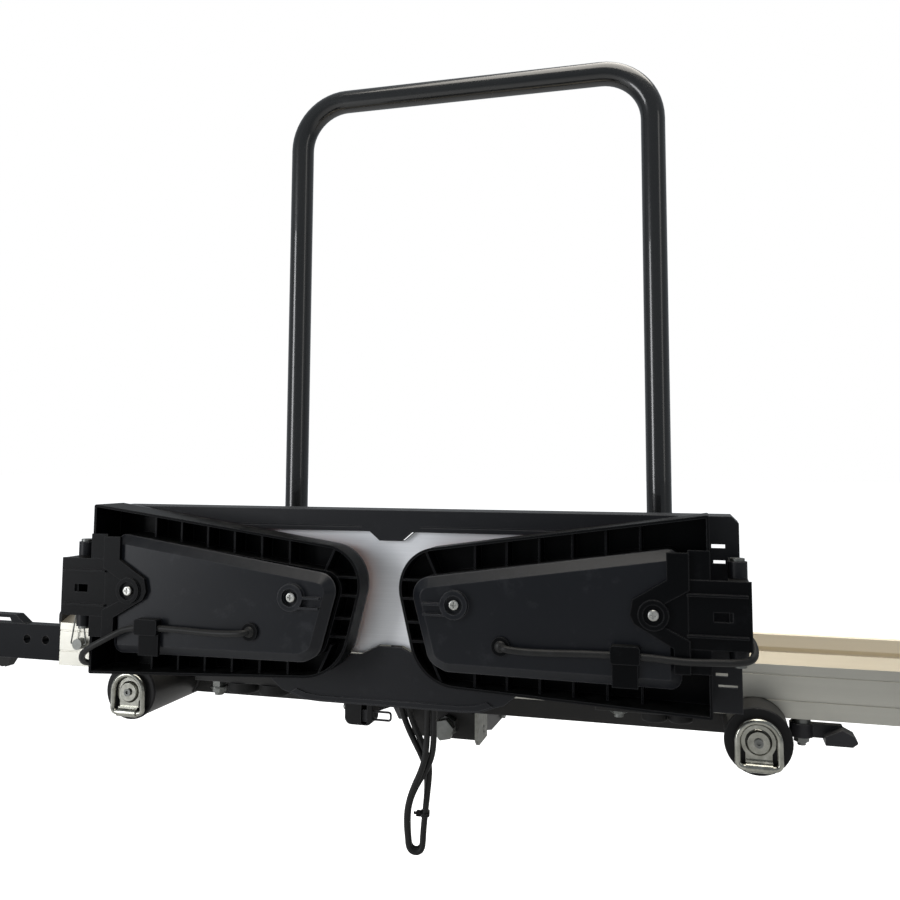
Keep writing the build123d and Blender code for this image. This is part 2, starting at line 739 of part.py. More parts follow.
lever_inner_x = -housing_half - 3.0
lever_outer_x = lever_inner_x - lever_thickness
with BuildPart() as coupling_pins:
    for y, z, reach in ((jaw_pin_y, jaw_pin_z, -housing_half - 3),
                        (lever_pin_y, lever_pin_z, lever_outer_x - 4)):
        with BuildSketch(side(reach)):
            with Locations((y, z)):
                Circle(coupling_pin_radius)
        extrude(amount=housing_half + 3 - reach)
        with BuildSketch(side(housing_half + seat_gap)):
            with Locations((y, z)):
                Circle(coupling_pin_radius + 3)
        extrude(amount=4)
    with BuildSketch(side(-housing_half - seat_gap)):
        with Locations((lever_pin_y, lever_pin_z)):
            Circle(coupling_pin_radius + 4)
    extrude(amount=lever_inner_x + housing_half + 2 * seat_gap)
save(coupling_pins.part, "coupling_pins")

# Coupling lever: flat bar with a thin finger loop at its end
lever_points = [(lever_pin_y, lever_pin_z), (-208, 23), (-232, 45), (-314, grip_z)]
loop_wire = 1.1
loop_points = [(lever_inner_x - 2, grip_y, grip_z), (-17, grip_y, grip_z),
               (-17, grip_y, grip_z - 8), (lever_inner_x - 2, grip_y, grip_z - 8)]
with BuildPart() as coupling_lever:
    with BuildSketch(side(lever_outer_x)):
        for (y0, z0), (y1, z1) in zip(lever_points, lever_points[1:]):
            with Locations(((y0 + y1) / 2, (z0 + z1) / 2)):
                SlotCenterToCenter(hypot(y1 - y0, z1 - z0), lever_height,
                                   rotation=degrees(atan2(z1 - z0, y1 - y0)))
        with Locations(lever_points[0]):
            Circle(13)
        with Locations(lever_points[0]):
            Circle(coupling_pin_radius + pin_gap, mode=Mode.SUBTRACT)
    extrude(amount=lever_thickness)
    with BuildSketch(side(lever_outer_x)):
        with Locations((grip_y + 4, grip_z - 4.5)):
            Rectangle(12, 12)
    extrude(amount=lever_thickness)
    with BuildLine():
        FilletPolyline(*loop_points, radius=2.5)
    with BuildSketch(Plane(origin=loop_points[0], z_dir=(1, 0, 0))):
        Circle(loop_wire)
    sweep()
save(coupling_lever.part, "coupling_lever")

grip_x = lever_x
with BuildPart() as lever_grip:
    with BuildSketch(facing(grip_y - grip_depth / 2)):
        with Locations((grip_x, grip_z)):
            Rectangle(grip_width, grip_height)
    extrude(amount=-1.8 * grip_depth)
    fillet(lever_grip.edges().filter_by(Axis.Y).group_by(Axis.Z)[0], radius=7)
    fillet(lever_grip.edges().filter_by(Axis.Y).group_by(Axis.Z)[-1], radius=2)
    fillet(lever_grip.faces().sort_by(Axis.Y)[0].edges(), radius=1.2)
    with BuildSketch(side(lever_outer_x - seat_gap)):
        with Locations((grip_y + 7, grip_z)):
            Rectangle(26, lever_height + 14)
    extrude(amount=lever_thickness + 2 * seat_gap, mode=Mode.SUBTRACT)
    with BuildSketch(side(lever_inner_x)):
        with Locations((grip_y, grip_z), (grip_y, grip_z - 8)):
            Circle(loop_wire + seat_gap)
    extrude(amount=grip_width, mode=Mode.SUBTRACT)
save(lever_grip.part, "lever_grip")

# Cross bolt of the grip
with BuildPart() as grip_bolt:
    with BuildSketch(side(grip_x - grip_width / 2 - 6)):
        with Locations((grip_y + 8, grip_z + 1)):
            Circle(3.6)
    extrude(amount=6 - seat_gap)
    fillet(grip_bolt.edges().sort_by(Axis.X)[0], radius=2.5)
save(grip_bolt.part, "grip_bolt")

# Large hex bolt and nut in the rear plate
bolt_x = 6.0
bolt_z = 11.0
bolt_radius = 7.0
bolt_hex = 12.2
bolt_head = 9.0
nut_height = 10.8
bolt_reach = 24.0
with BuildPart() as housing_bolt:
    with BuildSketch(facing(housing_rear_y - bolt_reach)):
        with Locations((bolt_x, bolt_z)):
            RegularPolygon(bolt_hex, 6, rotation=12)
    extrude(amount=-bolt_head)
    with BuildSketch(facing(housing_rear_y - bolt_reach)):
        with Locations((bolt_x, bolt_z)):
            Circle(bolt_radius)
    extrude(amount=-bolt_reach - housing_plate - 8)
    fillet(housing_bolt.faces().sort_by(Axis.Y)[0].edges(), radius=0.8)
    with BuildSketch(facing(housing_rear_y - nut_height - seat_gap)):
        with Locations((bolt_x, bolt_z)):
            RegularPolygon(bolt_hex, 6, rotation=35)
            Circle(bolt_radius + pin_gap, mode=Mode.SUBTRACT)
    extrude(amount=-nut_height)
save(housing_bolt.part, "housing_bolt")

# Galvanised loom bracket on the housing's right side
loom_plate = 4.0
with BuildPart() as loom_bracket:
    with BuildSketch(side(housing_half + 0.05)):
        with BuildLine():
            Polyline((-196, 29.9), (-196, -3), (-190, -9), (-152, -9), (-152, 29.9), close=True)
        make_face()
        with Locations((-168, 6.5), (-168, 0.5)):
            Circle(2.1, mode=Mode.SUBTRACT)
    extrude(amount=loom_plate)
save(loom_bracket.part, "loom_bracket")

# Rail clamp lever under the right side of the rail, with its bolt
with BuildPart() as rail_clamp_lever:
    with BuildSketch(level(clamp_low_z)):
        with Locations((clamp_x, bar_y)):
            Circle(clamp_hub_radius)
        with Locations(((clamp_x + clamp_reach) / 2, bar_y)):
            Rectangle(clamp_reach - clamp_x, clamp_width)
        with Locations((clamp_x, bar_y)):
            Circle(clamp_bolt_radius + pin_gap, mode=Mode.SUBTRACT)
    extrude(amount=clamp_high_z - clamp_low_z)
    with BuildSketch(facing(bar_y - 18)):
        with BuildLine():
            Polyline((clamp_reach - 17, clamp_low_z - 3), (clamp_reach + 7, clamp_low_z - 3),
                     (clamp_reach + 12, clamp_low_z + 1), (clamp_reach + 10, clamp_low_z + 6),
                     (clamp_reach - 2, clamp_low_z + 12), (clamp_reach - 17, clamp_low_z + 5), close=True)
        make_face()
    extrude(amount=-22)
    fillet(rail_clamp_lever.edges().filter_by(Axis.Y).group_by(Axis.X)[-1], radius=1.5)
save(rail_clamp_lever.part, "rail_clamp_lever")


def foot_bolt(x, y, shank, low_z, head_radius, head_height):
    # A bolt that hangs from the hollow of the rail's side wall: head above, shank down to low_z
    with BuildSketch(level(low_z)) as shank_sketch:
        with Locations((x, y)):
            Circle(shank)
    extrude(shank_sketch.sketch, amount=rail_foot_z + rail_skin + 1 - low_z)
    with BuildSketch(level(rail_foot_z + rail_skin + seat_gap)) as head_sketch:
        with Locations((x, y)):
            RegularPolygon(head_radius, 6)
    extrude(head_sketch.sketch, amount=head_height)


with BuildPart() as rail_clamp_bolt:
    foot_bolt(clamp_x, bar_y, clamp_bolt_radius, clamp_low_z - 8.5, 7.2, 5.0)
    with BuildSketch(level(clamp_low_z - 5.2)):
        with Locations((clamp_x, bar_y)):
            RegularPolygon(7.2, 6)
    extrude(amount=5.0)
    with BuildSketch(level(clamp_high_z + seat_gap)):
        with Locations((clamp_x, bar_y)):
            Circle(9)
    extrude(amount=rail_foot_z - clamp_high_z - 2 * seat_gap)
save(rail_clamp_bolt.part, "rail_clamp_bolt")

# Board brackets: a foot under the rail, welded to the rear beam, a leg up the rail's rear wall,
# a shelf to the board and a flange behind it
for name, way, bolt_x in (("board_bracket_left", -1, left_bolt_x), ("board_bracket_right", 1, right_bolt_x)):
    with BuildPart() as board_bracket:
        with BuildSketch(side(bracket_centre[way] - bracket_width / 2)):
            with BuildLine():
                beam_y = rear_beam_y - beam_size / 2
                leg_y = rail_rear_y - seat_gap
                flange_y = board_back_y + seat_gap
                Polyline((beam_y, bracket_top_z), (leg_y, bracket_top_z), (leg_y, bracket_shelf_z),
                         (flange_y + bracket_thickness, bracket_shelf_z),
                         (flange_y + bracket_thickness, flange_top_z), (flange_y, flange_top_z),
                         (flange_y, bracket_shelf_z - bracket_thickness),
                         (leg_y - bracket_thickness, bracket_shelf_z - bracket_thickness),
                         (leg_y - bracket_thickness, bracket_top_z - bracket_thickness),
                         (beam_y, bracket_top_z - bracket_thickness), close=True)
            make_face()
        extrude(amount=bracket_width)
        with BuildSketch(level(bracket_top_z - bracket_thickness - 1)):
            with Locations((bolt_x, bracket_bolt_y)):
                Circle(bracket_bolt_radius + pin_gap)
        extrude(amount=bracket_thickness + 2, mode=Mode.SUBTRACT)
        with BuildSketch(facing(board_back_y - 1)):
            with Locations(*[(way * board_screw_x, z) for z in board_screw_zs]):
                Circle(board_screw_radius + pin_gap)
        extrude(amount=-bracket_thickness - 3, mode=Mode.SUBTRACT)
    save(board_bracket.part, name)

shelf_under_z = bracket_top_z - bracket_thickness - seat_gap
with BuildPart() as bracket_bolts:
    for x, low_z, nut_height in ((left_bolt_x, left_bolt_low_z, 14.0), (right_bolt_x, right_bolt_low_z, 4.2)):
        foot_bolt(x, bracket_bolt_y, bracket_bolt_radius, low_z, 7.4, 6.0)
        with BuildSketch(level(shelf_under_z - nut_height)):
            with Locations((x, bracket_bolt_y)):
                RegularPolygon(8.7, 6)
        extrude(amount=nut_height)
    with BuildSketch(level(shelf_under_z - 10)):
        with Locations((left_bolt_x, bracket_bolt_y)):
            Circle(9.9)
    extrude(amount=2.0)
save(bracket_bolts.part, "bracket_bolts")

with BuildPart() as board_screws:
    for x in (-board_screw_x, board_screw_x):
        for z in board_screw_zs:
            with BuildSketch(facing(board_back_y + seat_gap + bracket_thickness + seat_gap)):
                with Locations((x, z)):
                    Circle(5.5)
            extrude(amount=-3.5)
            with BuildSketch(facing(board_back_y + bracket_thickness + 2)):
                with Locations((x, z)):
                    Circle(board_screw_radius)
            extrude(amount=22)
save(board_screws.part, "board_screws")

# Rubber buffers under the bracket feet: distance along the rail, radius and lower end
rubber_feet = ((-223.5, 18.0, 45.5), (-183.5, 19.0, 45.5), (238.0, 13.2, 48.0), (264.0, 12.4, 48.6))
with BuildPart() as buffers:
    for x, radius, low_z in rubber_feet:
        with BuildSketch(level(low_z)):
            with Locations((x, bracket_bolt_y)):
                Circle(radius)
        extrude(amount=shelf_under_z - low_z)
    fillet(buffers.edges().filter_by(GeomType.CIRCLE).filter_by(
        lambda e: e.center().Z < shelf_under_z - 5), radius=2.5)
save(buffers.part, "rubber_buffers")

# Light board
tab_half_top = 28.5
tab_half_low = 11.3
tab_drop = 14.6
tab_top_z = 247.0
fascia_tab_half = 29.5
fascia_tab_top_half = 11.4
fascia_tab_rise = 8.6
panel_half = board_end_inner - 0.2
board_middle_z = 104.0
fascia_points = [(131, board_middle_z), (122.5, 95.2), (111, 85.8), (103, 83.4), (88, 77.9),
                 (71, fascia_bottom_z)]
right_edge = [(panel_half, board_top_z), (panel_half, board_middle_z)] + fascia_points
left_edge = [(-x, z) for x, z in reversed(right_edge)]


def board_outline(plane, shrink):
    with BuildSketch(plane) as outline:
        with BuildLine():
            Polyline(*(right_edge + left_edge), close=True)
        make_face()
        if shrink:
            offset(amount=-shrink, kind=Kind.INTERSECTION)
    return outline.sketch


def recess_outline(plane):
    # The plate's recess, with the two tabs standing into it
    with BuildSketch(plane) as recess:
        with BuildLine():
            slope = (tab_half_top - tab_half_low) / tab_drop
            tab_at_bar = tab_half_top - slope * (tab_top_z - bar_lower_z)
            Polyline((-panel_half + 4, bar_lower_z), (-tab_at_bar, bar_lower_z),
                     (-tab_half_low, tab_top_z - tab_drop), (tab_half_low, tab_top_z - tab_drop),
                     (tab_at_bar, bar_lower_z), (panel_half - 4, bar_lower_z),
                     (panel_half - 4, fascia_top_z), (fascia_tab_half, fascia_top_z),
                     (fascia_tab_top_half, fascia_top_z + fascia_tab_rise),
                     (-fascia_tab_top_half, fascia_top_z + fascia_tab_rise),
                     (-fascia_tab_half, fascia_top_z), (-panel_half + 4, fascia_top_z), close=True)
        make_face()
    return recess.sketch


with BuildPart() as light_board:
    extrude(board_outline(facing(board_front_y), 0), amount=-(board_back_y - board_front_y))
    extrude(board_outline(facing(board_front_y + board_wall), board_wall),
            amount=-(board_back_y - board_front_y), mode=Mode.SUBTRACT)
    extrude(recess_outline(facing(board_front_y + board_wall)), amount=-plate_recess)
    extrude(recess_outline(facing(board_front_y - 0.01)), amount=-plate_recess, mode=Mode.SUBTRACT)
    with BuildSketch(facing(board_front_y)):
        for way in (-1, 1):
            with Locations((way * 145, 245.7)):
                Rectangle(230, 1.0)
    extrude(amount=-0.8, mode=Mode.SUBTRACT)
    with BuildSketch(facing(board_front_y)):
        with BuildLine():
            Polyline((-101, 84.5), (-87, 79.5), (-71, 78.5), (71, 78.5), (87, 79.5), (101, 84.5),
                     (95, 88), (84, 84.5), (70, 83), (-70, 83), (-84, 84.5), (-95, 88), close=True)
        make_face()
    extrude(amount=1.6)
    with BuildSketch(facing(board_front_y + plate_recess + 0.5)):
        with Locations(*[(x, (board_top_z + board_middle_z) / 2) for x in range(-240, 241, 60)]):
            Rectangle(2.5, board_top_z - board_middle_z - 2)
    extrude(amount=-26)
    for z, face_y in zip(board_screw_zs, (board_front_y + 1, board_front_y + plate_recess + 1)):
        with BuildSketch(facing(face_y)):
            with Locations((-board_screw_x, z), (board_screw_x, z)):
                Circle(board_screw_radius + 5)
        extrude(amount=-(board_back_y - face_y))
    with BuildSketch(facing(board_front_y + 1)):
        with Locations((gland_xs[0], gland_z), (gland_xs[1], gland_z)):
            RectangleRounded(20, 14, 3)
    extrude(amount=-(gland_end_y - board_front_y - 1))
    with BuildSketch(facing(gland_end_y)):
        for x in gland_xs:
            with Locations((x - strand_offset, gland_z), (x + strand_offset, gland_z)):
                Circle(loom_radius + seat_gap)
    extrude(amount=12, mode=Mode.SUBTRACT)
    with BuildSketch(facing(board_back_y + 1)):
        with Locations(*[(x, z) for x in (-board_screw_x, board_screw_x) for z in board_screw_zs]):
            Circle(board_screw_radius + pin_gap)
    extrude(amount=24, mode=Mode.SUBTRACT)
save(light_board.part, "light_board")

with BuildPart() as plate_sheet:
    with BuildSketch(facing(board_front_y + plate_recess - seat_gap - plate_thickness)):
        with Locations((0, (bar_lower_z + fascia_top_z) / 2)):
            RectangleRounded(2 * plate_half, bar_lower_z - fascia_top_z - 1.0, 4)
        with BuildLine():
            Polyline((-30, bar_lower_z + 1), (-22.5, bar_lower_z - 0.5), (-tab_half_low - 0.6, 231.8),
                     (tab_half_low + 0.6, 231.8), (22.5, bar_lower_z - 0.5), (30, bar_lower_z + 1),
                     close=True)
        make_face(mode=Mode.SUBTRACT)
        with BuildLine():
            notch_z = fascia_top_z + fascia_tab_rise + 0.5
            Polyline((-31, fascia_top_z - 1), (-fascia_tab_top_half - 0.6, notch_z),
                     (fascia_tab_top_half + 0.6, notch_z), (31, fascia_top_z - 1), close=True)
        make_face(mode=Mode.SUBTRACT)
    extrude(amount=-plate_thickness)
save(plate_sheet.part, "plate_sheet")

# Slotted board ends with the hinge lugs of the lamps
lug_foot_zs = (lamp_z + tongue_low - lug_gap - lug_height, lamp_z + tongue_high + lug_gap)
cable_entries = {-1: (-304.4, 104.5), 1: (308.5, 166)}
end_slots = ((301.5, 235.5, 13, 3.3), (303, 222.0, 10, 2.5), (303, 126.0, 10, 3.0), (308, 116.5, 16, 2.2))
with BuildPart() as board_ends:
    for way in (-1, 1):
        with BuildSketch(facing(board_front_y)):
            with BuildLine():
                Polyline((way * board_end_inner, board_bottom_z), (way * board_half, board_bottom_z),
                         (way * board_half, board_top_z - 6), (way * (board_half - 6), board_top_z),
                         (way * board_end_inner, board_top_z), close=True)
            make_face()
        extrude(amount=-(board_back_y - board_front_y))
        with BuildSketch(facing(board_front_y + 2.5)):
            with Locations((way * (board_end_inner + board_half) / 2, (board_bottom_z + board_top_z) / 2)):
                Rectangle(board_half - board_end_inner - 5, board_top_z - board_bottom_z - 8)
        extrude(amount=-(board_back_y - board_front_y), mode=Mode.SUBTRACT)
        with BuildSketch(facing(board_front_y - 1)):
            with Locations(*[(way * u, z) for u, z, _, _ in end_slots[:1]]):
                Rectangle(end_slots[0][2], end_slots[0][3])
            with Locations(*[(way * u, z) for u, z, _, _ in end_slots[1:3]]):
                Rectangle(10, 2.8)
            with Locations((way * end_slots[3][0], end_slots[3][1])):
                Rectangle(end_slots[3][2], end_slots[3][3])
            with Locations(cable_entries[way]):
                Circle(cable_radius + 0.3)
        extrude(amount=-6, mode=Mode.SUBTRACT)
        for foot_z in lug_foot_zs:
            with BuildSketch(level(foot_z)):
                with Locations((way * hinge_u, hinge_y)):
                    Circle(knuckle_radius)
                with Locations((way * (hinge_u - 2), (hinge_y + board_front_y) / 2 + 1)):
                    Rectangle(10, board_front_y - hinge_y + 2)
                with Locations((way * hinge_u, hinge_y)):
                    Circle(hinge_pin_radius + pin_gap, mode=Mode.SUBTRACT)
            extrude(amount=lug_height)
save(board_ends.part, "board_ends")

pin_head_height = 2.5
pin_low_z = lug_foot_zs[0] - seat_gap
pin_high_z = lug_foot_zs[1] + lug_height + seat_gap
with BuildPart() as hinge_pins:
    for way in (-1, 1):
        with BuildSketch(level(pin_low_z)):
            with Locations((way * hinge_u, hinge_y)):
                Circle(hinge_pin_radius)
        extrude(amount=pin_high_z - pin_low_z)
        for z, direction in ((pin_high_z, 1), (pin_low_z, -1)):
            with BuildSketch(level(z)):
                with Locations((way * hinge_u, hinge_y)):
                    Circle(hinge_pin_radius + 2)
            extrude(amount=direction * pin_head_height)
save(hinge_pins.part, "hinge_pins")


def lamp_shape(way, corners, radii, grow=0.0):
    # A face in lamp coordinates: grown or shrunk first, then each corner rounded
    with BuildSketch() as shape:
        with BuildLine():
            Polyline(*[(way * u, lamp_z + z) for u, z in corners], close=True)
        make_face()
        if grow:
            offset(amount=grow, kind=Kind.INTERSECTION)
        for (u, z), radius in zip(corners, radii):
            if radius + grow > 0.3:
                corner = shape.vertices().sort_by_distance((way * u, lamp_z + z, 0))[0]
                fillet(corner, radius=radius + grow)
    return shape.sketch


def lamp_post(way, spot):
    return (way * spot[0], lamp_z + spot[1])


cable_routes = {
    1: ((119.5, 149.5, -425.5), (119.5, 149.5, -439.0), (133, 147.7, -439.5), (157, 147, -437.8),
        (195, 148.6, -437), (244, 148.5, -437), (263, 147.6, -440.4), (281, 147.2, -440.8), (298, 148, -440),
        (314, 148.3, -438.5), (325.5, 149.3, -432.5), (329.5, 152.5, -419.5), (328.3, 159.5, -404),
        (320.5, 164.5, -391), (308.5, 166, -383), (308.5, 166.05, -372)),
    -1: ((119.5, 149.5, -425.5), (119.5, 149.5, -439.0), (133, 148, -439.5), (157, 147, -437.8),
         (195, 148.6, -437), (246, 148.5, -437), (264, 139, -440.2), (283, 129.5, -440.2),
         (296, 122, -437.5), (302.5, 114, -431.5), (306, 107.5, -420), (305.5, 105, -404),
         (304.6, 104.6, -388), (304.4, 104.5, -371)),
}
post_radius = 5.0
screw_radius = 2.0
grommet_hole = 6.1
clip_u = (213.5, 238.0)
clip_z = (42.0, 57.0)
clip_depth = 9.4
for side_name, way in (("left", -1), ("right", 1)):
    # Shell: skirt with a sloping rim, deck with a window, inner wall and trough ribs
    with BuildPart() as shell:
        with BuildSketch(facing(lamp_rim_y)):
            add(lamp_shape(way, lamp_corners, lamp_radii))
        extrude(amount=-(lamp_deck_y + 2 - lamp_rim_y))
        with BuildSketch(facing(lamp_rim_y)):
            add(lamp_shape(way, lamp_corners, lamp_radii, -lamp_wall))
        extrude(amount=-(lamp_deck_y - lamp_rim_y), mode=Mode.SUBTRACT)
        with BuildSketch(facing(lamp_deck_y - 1)):
            add(lamp_shape(way, window_corners, window_radii))
        extrude(amount=-4, mode=Mode.SUBTRACT)
        with BuildSketch(facing(lamp_deck_y)):
            add(lamp_shape(way, back_corners, back_radii, flank_width))
            add(lamp_shape(way, back_corners, back_radii, flank_width - lamp_wall), mode=Mode.SUBTRACT)
        extrude(amount=lamp_deck_y - lamp_back_y - flank_height - seat_gap)
        with BuildSketch(facing(lamp_deck_y)):
            with Locations(*[(way * (rib_first + rib_step * i), lamp_z + lamp_height / 2)
                             for i in range(rib_count)]):
                Rectangle(rib_thickness, 2 * lamp_height)
            with Locations(*[(way * 25, lamp_z + z) for z in (45, 62, 83, 100)]):
                Rectangle(50, rib_thickness)
            with Locations((way * 60, lamp_z + 10), (way * 50, lamp_z + 115)):
                Rectangle(rib_thickness, 60, rotation=way * 25)
            add(lamp_shape(way, lamp_corners, lamp_radii, -lamp_wall / 2), mode=Mode.INTERSECT)
            add(lamp_shape(way, back_corners, back_radii, flank_width - lamp_wall / 2), mode=Mode.SUBTRACT)
        extrude(amount=20)
        with BuildSketch(facing(lamp_deck_y)):
            with Locations(lamp_post(way, inner_boss), lamp_post(way, outer_boss)):
                Circle(post_radius)
        extrude(amount=lamp_deck_y - lamp_back_y - lamp_back_thickness - seat_gap)
        with BuildSketch(facing(lamp_back_y)):
            with Locations(lamp_post(way, inner_boss), lamp_post(way, outer_boss)):
                Circle(screw_radius + pin_gap)
        extrude(amount=-20, mode=Mode.SUBTRACT)
        with BuildSketch(level(lamp_z - 5)):
            with BuildLine():
                slope = lamp_rim_set / 276.0
                Polyline((way * (lamp_outer_u + 5), lamp_rim_y - 5 * slope),
                         (0, lamp_rim_y + lamp_outer_u * slope),
                         (0, lamp_rim_y - 10), (way * (lamp_outer_u + 5), lamp_rim_y - 10), close=True)
            make_face()
        extrude(amount=lamp_height + 10, mode=Mode.SUBTRACT)
    save(shell.part, f"lamp_{side_name}_shell")

    # Lens on the front, which faces the board while the lamp is folded in
    with BuildPart() as lens:
        with BuildSketch(facing(lamp_deck_y + 2 + seat_gap)):
            add(lamp_shape(way, lamp_corners, lamp_radii))
        extrude(amount=-(lamp_lens_y - lamp_deck_y - 2 - seat_gap))
        fillet(lens.faces().sort_by(Axis.Y)[-1].edges(), radius=1.5)
    save(lens.part, f"lamp_{side_name}_lens")

    # Circuit board over the window, with its lamps
    with BuildPart() as circuit:
        with BuildSketch(facing(lamp_deck_y - seat_gap)):
            add(lamp_shape(way, window_corners, (4.0, 4.0, 4.0, 4.0), 3.0))
        extrude(amount=1.6)
        with BuildSketch(facing(lamp_deck_y - seat_gap - 0.2)):
            with Locations(*[(way * (104 + 12 * i), lamp_z + z) for i in range(11) for z in (56, 70, 84)]):
                Rectangle(5, 5)
        extrude(amount=-1.9)
    save(circuit.part, f"lamp_{side_name}_circuit")

    # Back plate: a shallow lid with sloping flanks and the inner screw boss
    with BuildPart() as back:
        taper = degrees(atan2(flank_width, flank_height))
        with BuildSketch(facing(lamp_back_y + flank_height)):
            add(lamp_shape(way, back_corners, back_radii, flank_width))
        extrude(amount=flank_height, taper=taper)
        with BuildSketch(facing(lamp_back_y + flank_height)):
            add(lamp_shape(way, back_corners, back_radii, flank_width - lamp_back_thickness * 1.14))
        extrude(amount=flank_height - lamp_back_thickness, taper=taper, mode=Mode.SUBTRACT)
        with BuildSketch(facing(lamp_back_y + 0.1)):
            with Locations(lamp_post(way, inner_boss)):
                Circle(boss_radius)
            with Locations((way * 62, lamp_z + 83), (way * 62, lamp_z + 74)):
                Rectangle(26, 2.0, rotation=0)
            add(lamp_shape(way, back_corners, back_radii), mode=Mode.INTERSECT)
        extrude(amount=boss_height + 0.1)
        with BuildSketch(facing(lamp_back_y - boss_height)):
            with Locations(lamp_post(way, inner_boss)):
                Circle(boss_radius - 4.5)
        extrude(amount=-well_depth, mode=Mode.SUBTRACT)
        with BuildSketch(facing(lamp_back_y - boss_height)):
            with Locations(lamp_post(way, inner_boss), lamp_post(way, outer_boss)):
                Circle(screw_radius + pin_gap)
            with Locations(lamp_post(way, grommet)):
                Circle(grommet_hole)
        extrude(amount=-12, mode=Mode.SUBTRACT)
    save(back.part, f"lamp_{side_name}_back")

    # Bracket: the angled band, its boss, the pad and the hinge tongue with two knuckles
    band_y = lamp_back_y - seat_gap
    with BuildPart() as lamp_bracket:
        with BuildSketch(facing(band_y)):
            with BuildLine():
                Polyline(*[(way * u, lamp_z + z) for u, z in (
                    (260, 134), (260, 111.5), (232, 94.5), (229.5, 82), (233, 74.5), (265, 56), (265, 36),
                    (278, 36), (278, 63), (258, 73), (258, 92), (278, 103.5), (278, 134))], close=True)
            make_face()
            with Locations(lamp_post(way, outer_boss)):
                Circle(boss_radius)
        extrude(amount=bracket_plate)
        with BuildSketch(facing(band_y)):
            with BuildLine():
                Polyline(*[(way * u, lamp_z + z) for u, z in ((256, 92), (277, 104), (277, 62), (256, 73))],
                         close=True)
            make_face()
        extrude(amount=1.9)
        with BuildSketch(facing(band_y)):
            with Locations(lamp_post(way, outer_boss)):
                Circle(boss_radius)
                Circle(boss_radius - 4.0, mode=Mode.SUBTRACT)
        extrude(amount=6.0)
        with BuildSketch(facing(band_y)):
            with Locations((way * (277 + lamp_outer_u) / 2, lamp_z + 86)):
                Rectangle(lamp_outer_u - 277, 100)
        extrude(amount=-2.0 + seat_gap)
        with BuildSketch(facing(band_y + 2.0 - seat_gap)):
            with Locations((way * (275 + tongue_outer_u) / 2, lamp_z + (tongue_low + tongue_high) / 2)):
                Rectangle(tongue_outer_u - 275, tongue_high - tongue_low)
        extrude(amount=tongue_thickness)
        with BuildSketch(facing(band_y + 2.0 - seat_gap)):
            with Locations((way * 300, lamp_z + 100), (way * 300, lamp_z + 67)):
                Rectangle(48, 2.0)
        extrude(amount=tongue_thickness + 3.0)
        with BuildSketch(facing(band_y - 20)):
            with Locations((way * 304.5, lamp_z + 82.7)):
                Rectangle(15, 7.4)
            with Locations(lamp_post(way, outer_boss)):
                Circle(screw_radius + pin_gap)
        extrude(amount=-40, mode=Mode.SUBTRACT)
        with BuildSketch(level(lamp_z + tongue_low)):
            with Locations((way * hinge_u, hinge_y)):
                Circle(knuckle_radius)
            with Locations((way * hinge_u, (hinge_y + band_y + 1.0) / 2)):
                Rectangle(2 * knuckle_radius, hinge_y - band_y - 1.0)
            with Locations((way * hinge_u, hinge_y)):
                Circle(hinge_pin_radius + pin_gap, mode=Mode.SUBTRACT)
        extrude(amount=tongue_high - tongue_low)
    save(lamp_bracket.part, f"lamp_{side_name}_bracket")

    # Cable clip and grommet
    with BuildPart() as fittings:
        with BuildSketch(facing(band_y)):
            with Locations((way * sum(clip_u) / 2, lamp_z + sum(clip_z) / 2)):
                RectangleRounded(clip_u[1] - clip_u[0], clip_z[1] - clip_z[0], 2.5)
        extrude(amount=clip_depth)
        with BuildSketch(facing(band_y)):
            with Locations((way * (sum(clip_u) / 2 - 0.5), lamp_z + 32.5)):
                Rectangle(clip_u[1] - clip_u[0] - 3, 21)
        extrude(amount=bracket_plate)
        with BuildSketch(side(way * clip_u[0] - 5 if way > 0 else way * clip_u[1] - 5)):
            with Locations((-437, lamp_z + 48.6)):
                Circle(cable_radius + seat_gap)
        extrude(amount=clip_u[1] - clip_u[0] + 10, mode=Mode.SUBTRACT)
        with BuildSketch(facing(band_y)):
            with Locations(lamp_post(way, grommet)):
                Circle(grommet_radius + 0.7)
                Circle(cable_radius + 0.6, mode=Mode.SUBTRACT)
        extrude(amount=2.5)
        with BuildSketch(facing(band_y)):
            with Locations(lamp_post(way, grommet)):
                Circle(grommet_hole - seat_gap)
                Circle(cable_radius + 0.6, mode=Mode.SUBTRACT)
        extrude(amount=-4.5)
    save(fittings.part, f"lamp_{side_name}_cable_fittings")

    # Screws in the two wells
    well_floors = (lamp_back_y - boss_height + well_depth, band_y - bracket_plate)
    head_tops = [y - seat_gap - 2.6 for y in well_floors]
    with BuildPart() as screws:
        for spot, floor_y in zip((inner_boss, outer_boss), well_floors):
            with BuildSketch(facing(floor_y - seat_gap)):
                with Locations(lamp_post(way, spot)):
                    Circle(4.6)
            extrude(amount=2.6)
            with BuildSketch(facing(floor_y - 1.0)):
                with Locations(lamp_post(way, spot)):
                    Circle(screw_radius)
            extrude(amount=-16)
            with BuildSketch(facing(floor_y - seat_gap - 2.6)):
                with Locations(lamp_post(way, spot)):
                    Rectangle(5.2, 1.0)
                    Rectangle(1.0, 5.2)
            extrude(amount=-1.4, mode=Mode.SUBTRACT)
        fillet(screws.edges().filter_by(GeomType.CIRCLE).filter_by(
            lambda e: e.radius > 4.5 and min(abs(e.center().Y - y) for y in head_tops) < 0.01), radius=1.2)
    save(screws.part, f"lamp_{side_name}_screws")

    # Cable from the grommet through the clip, round the hinge and into the board's end
    route = [(way * u, y, z) for u, z, y in cable_routes[way]]
    bends = bend_radii(route, 60.0)
    print(f"lamp_{side_name}_cable", [round(r, 1) for r in bends])
    cable = pipe(route, cable_radius, bends, "cable")
    save(cable, f"lamp_{side_name}_cable")

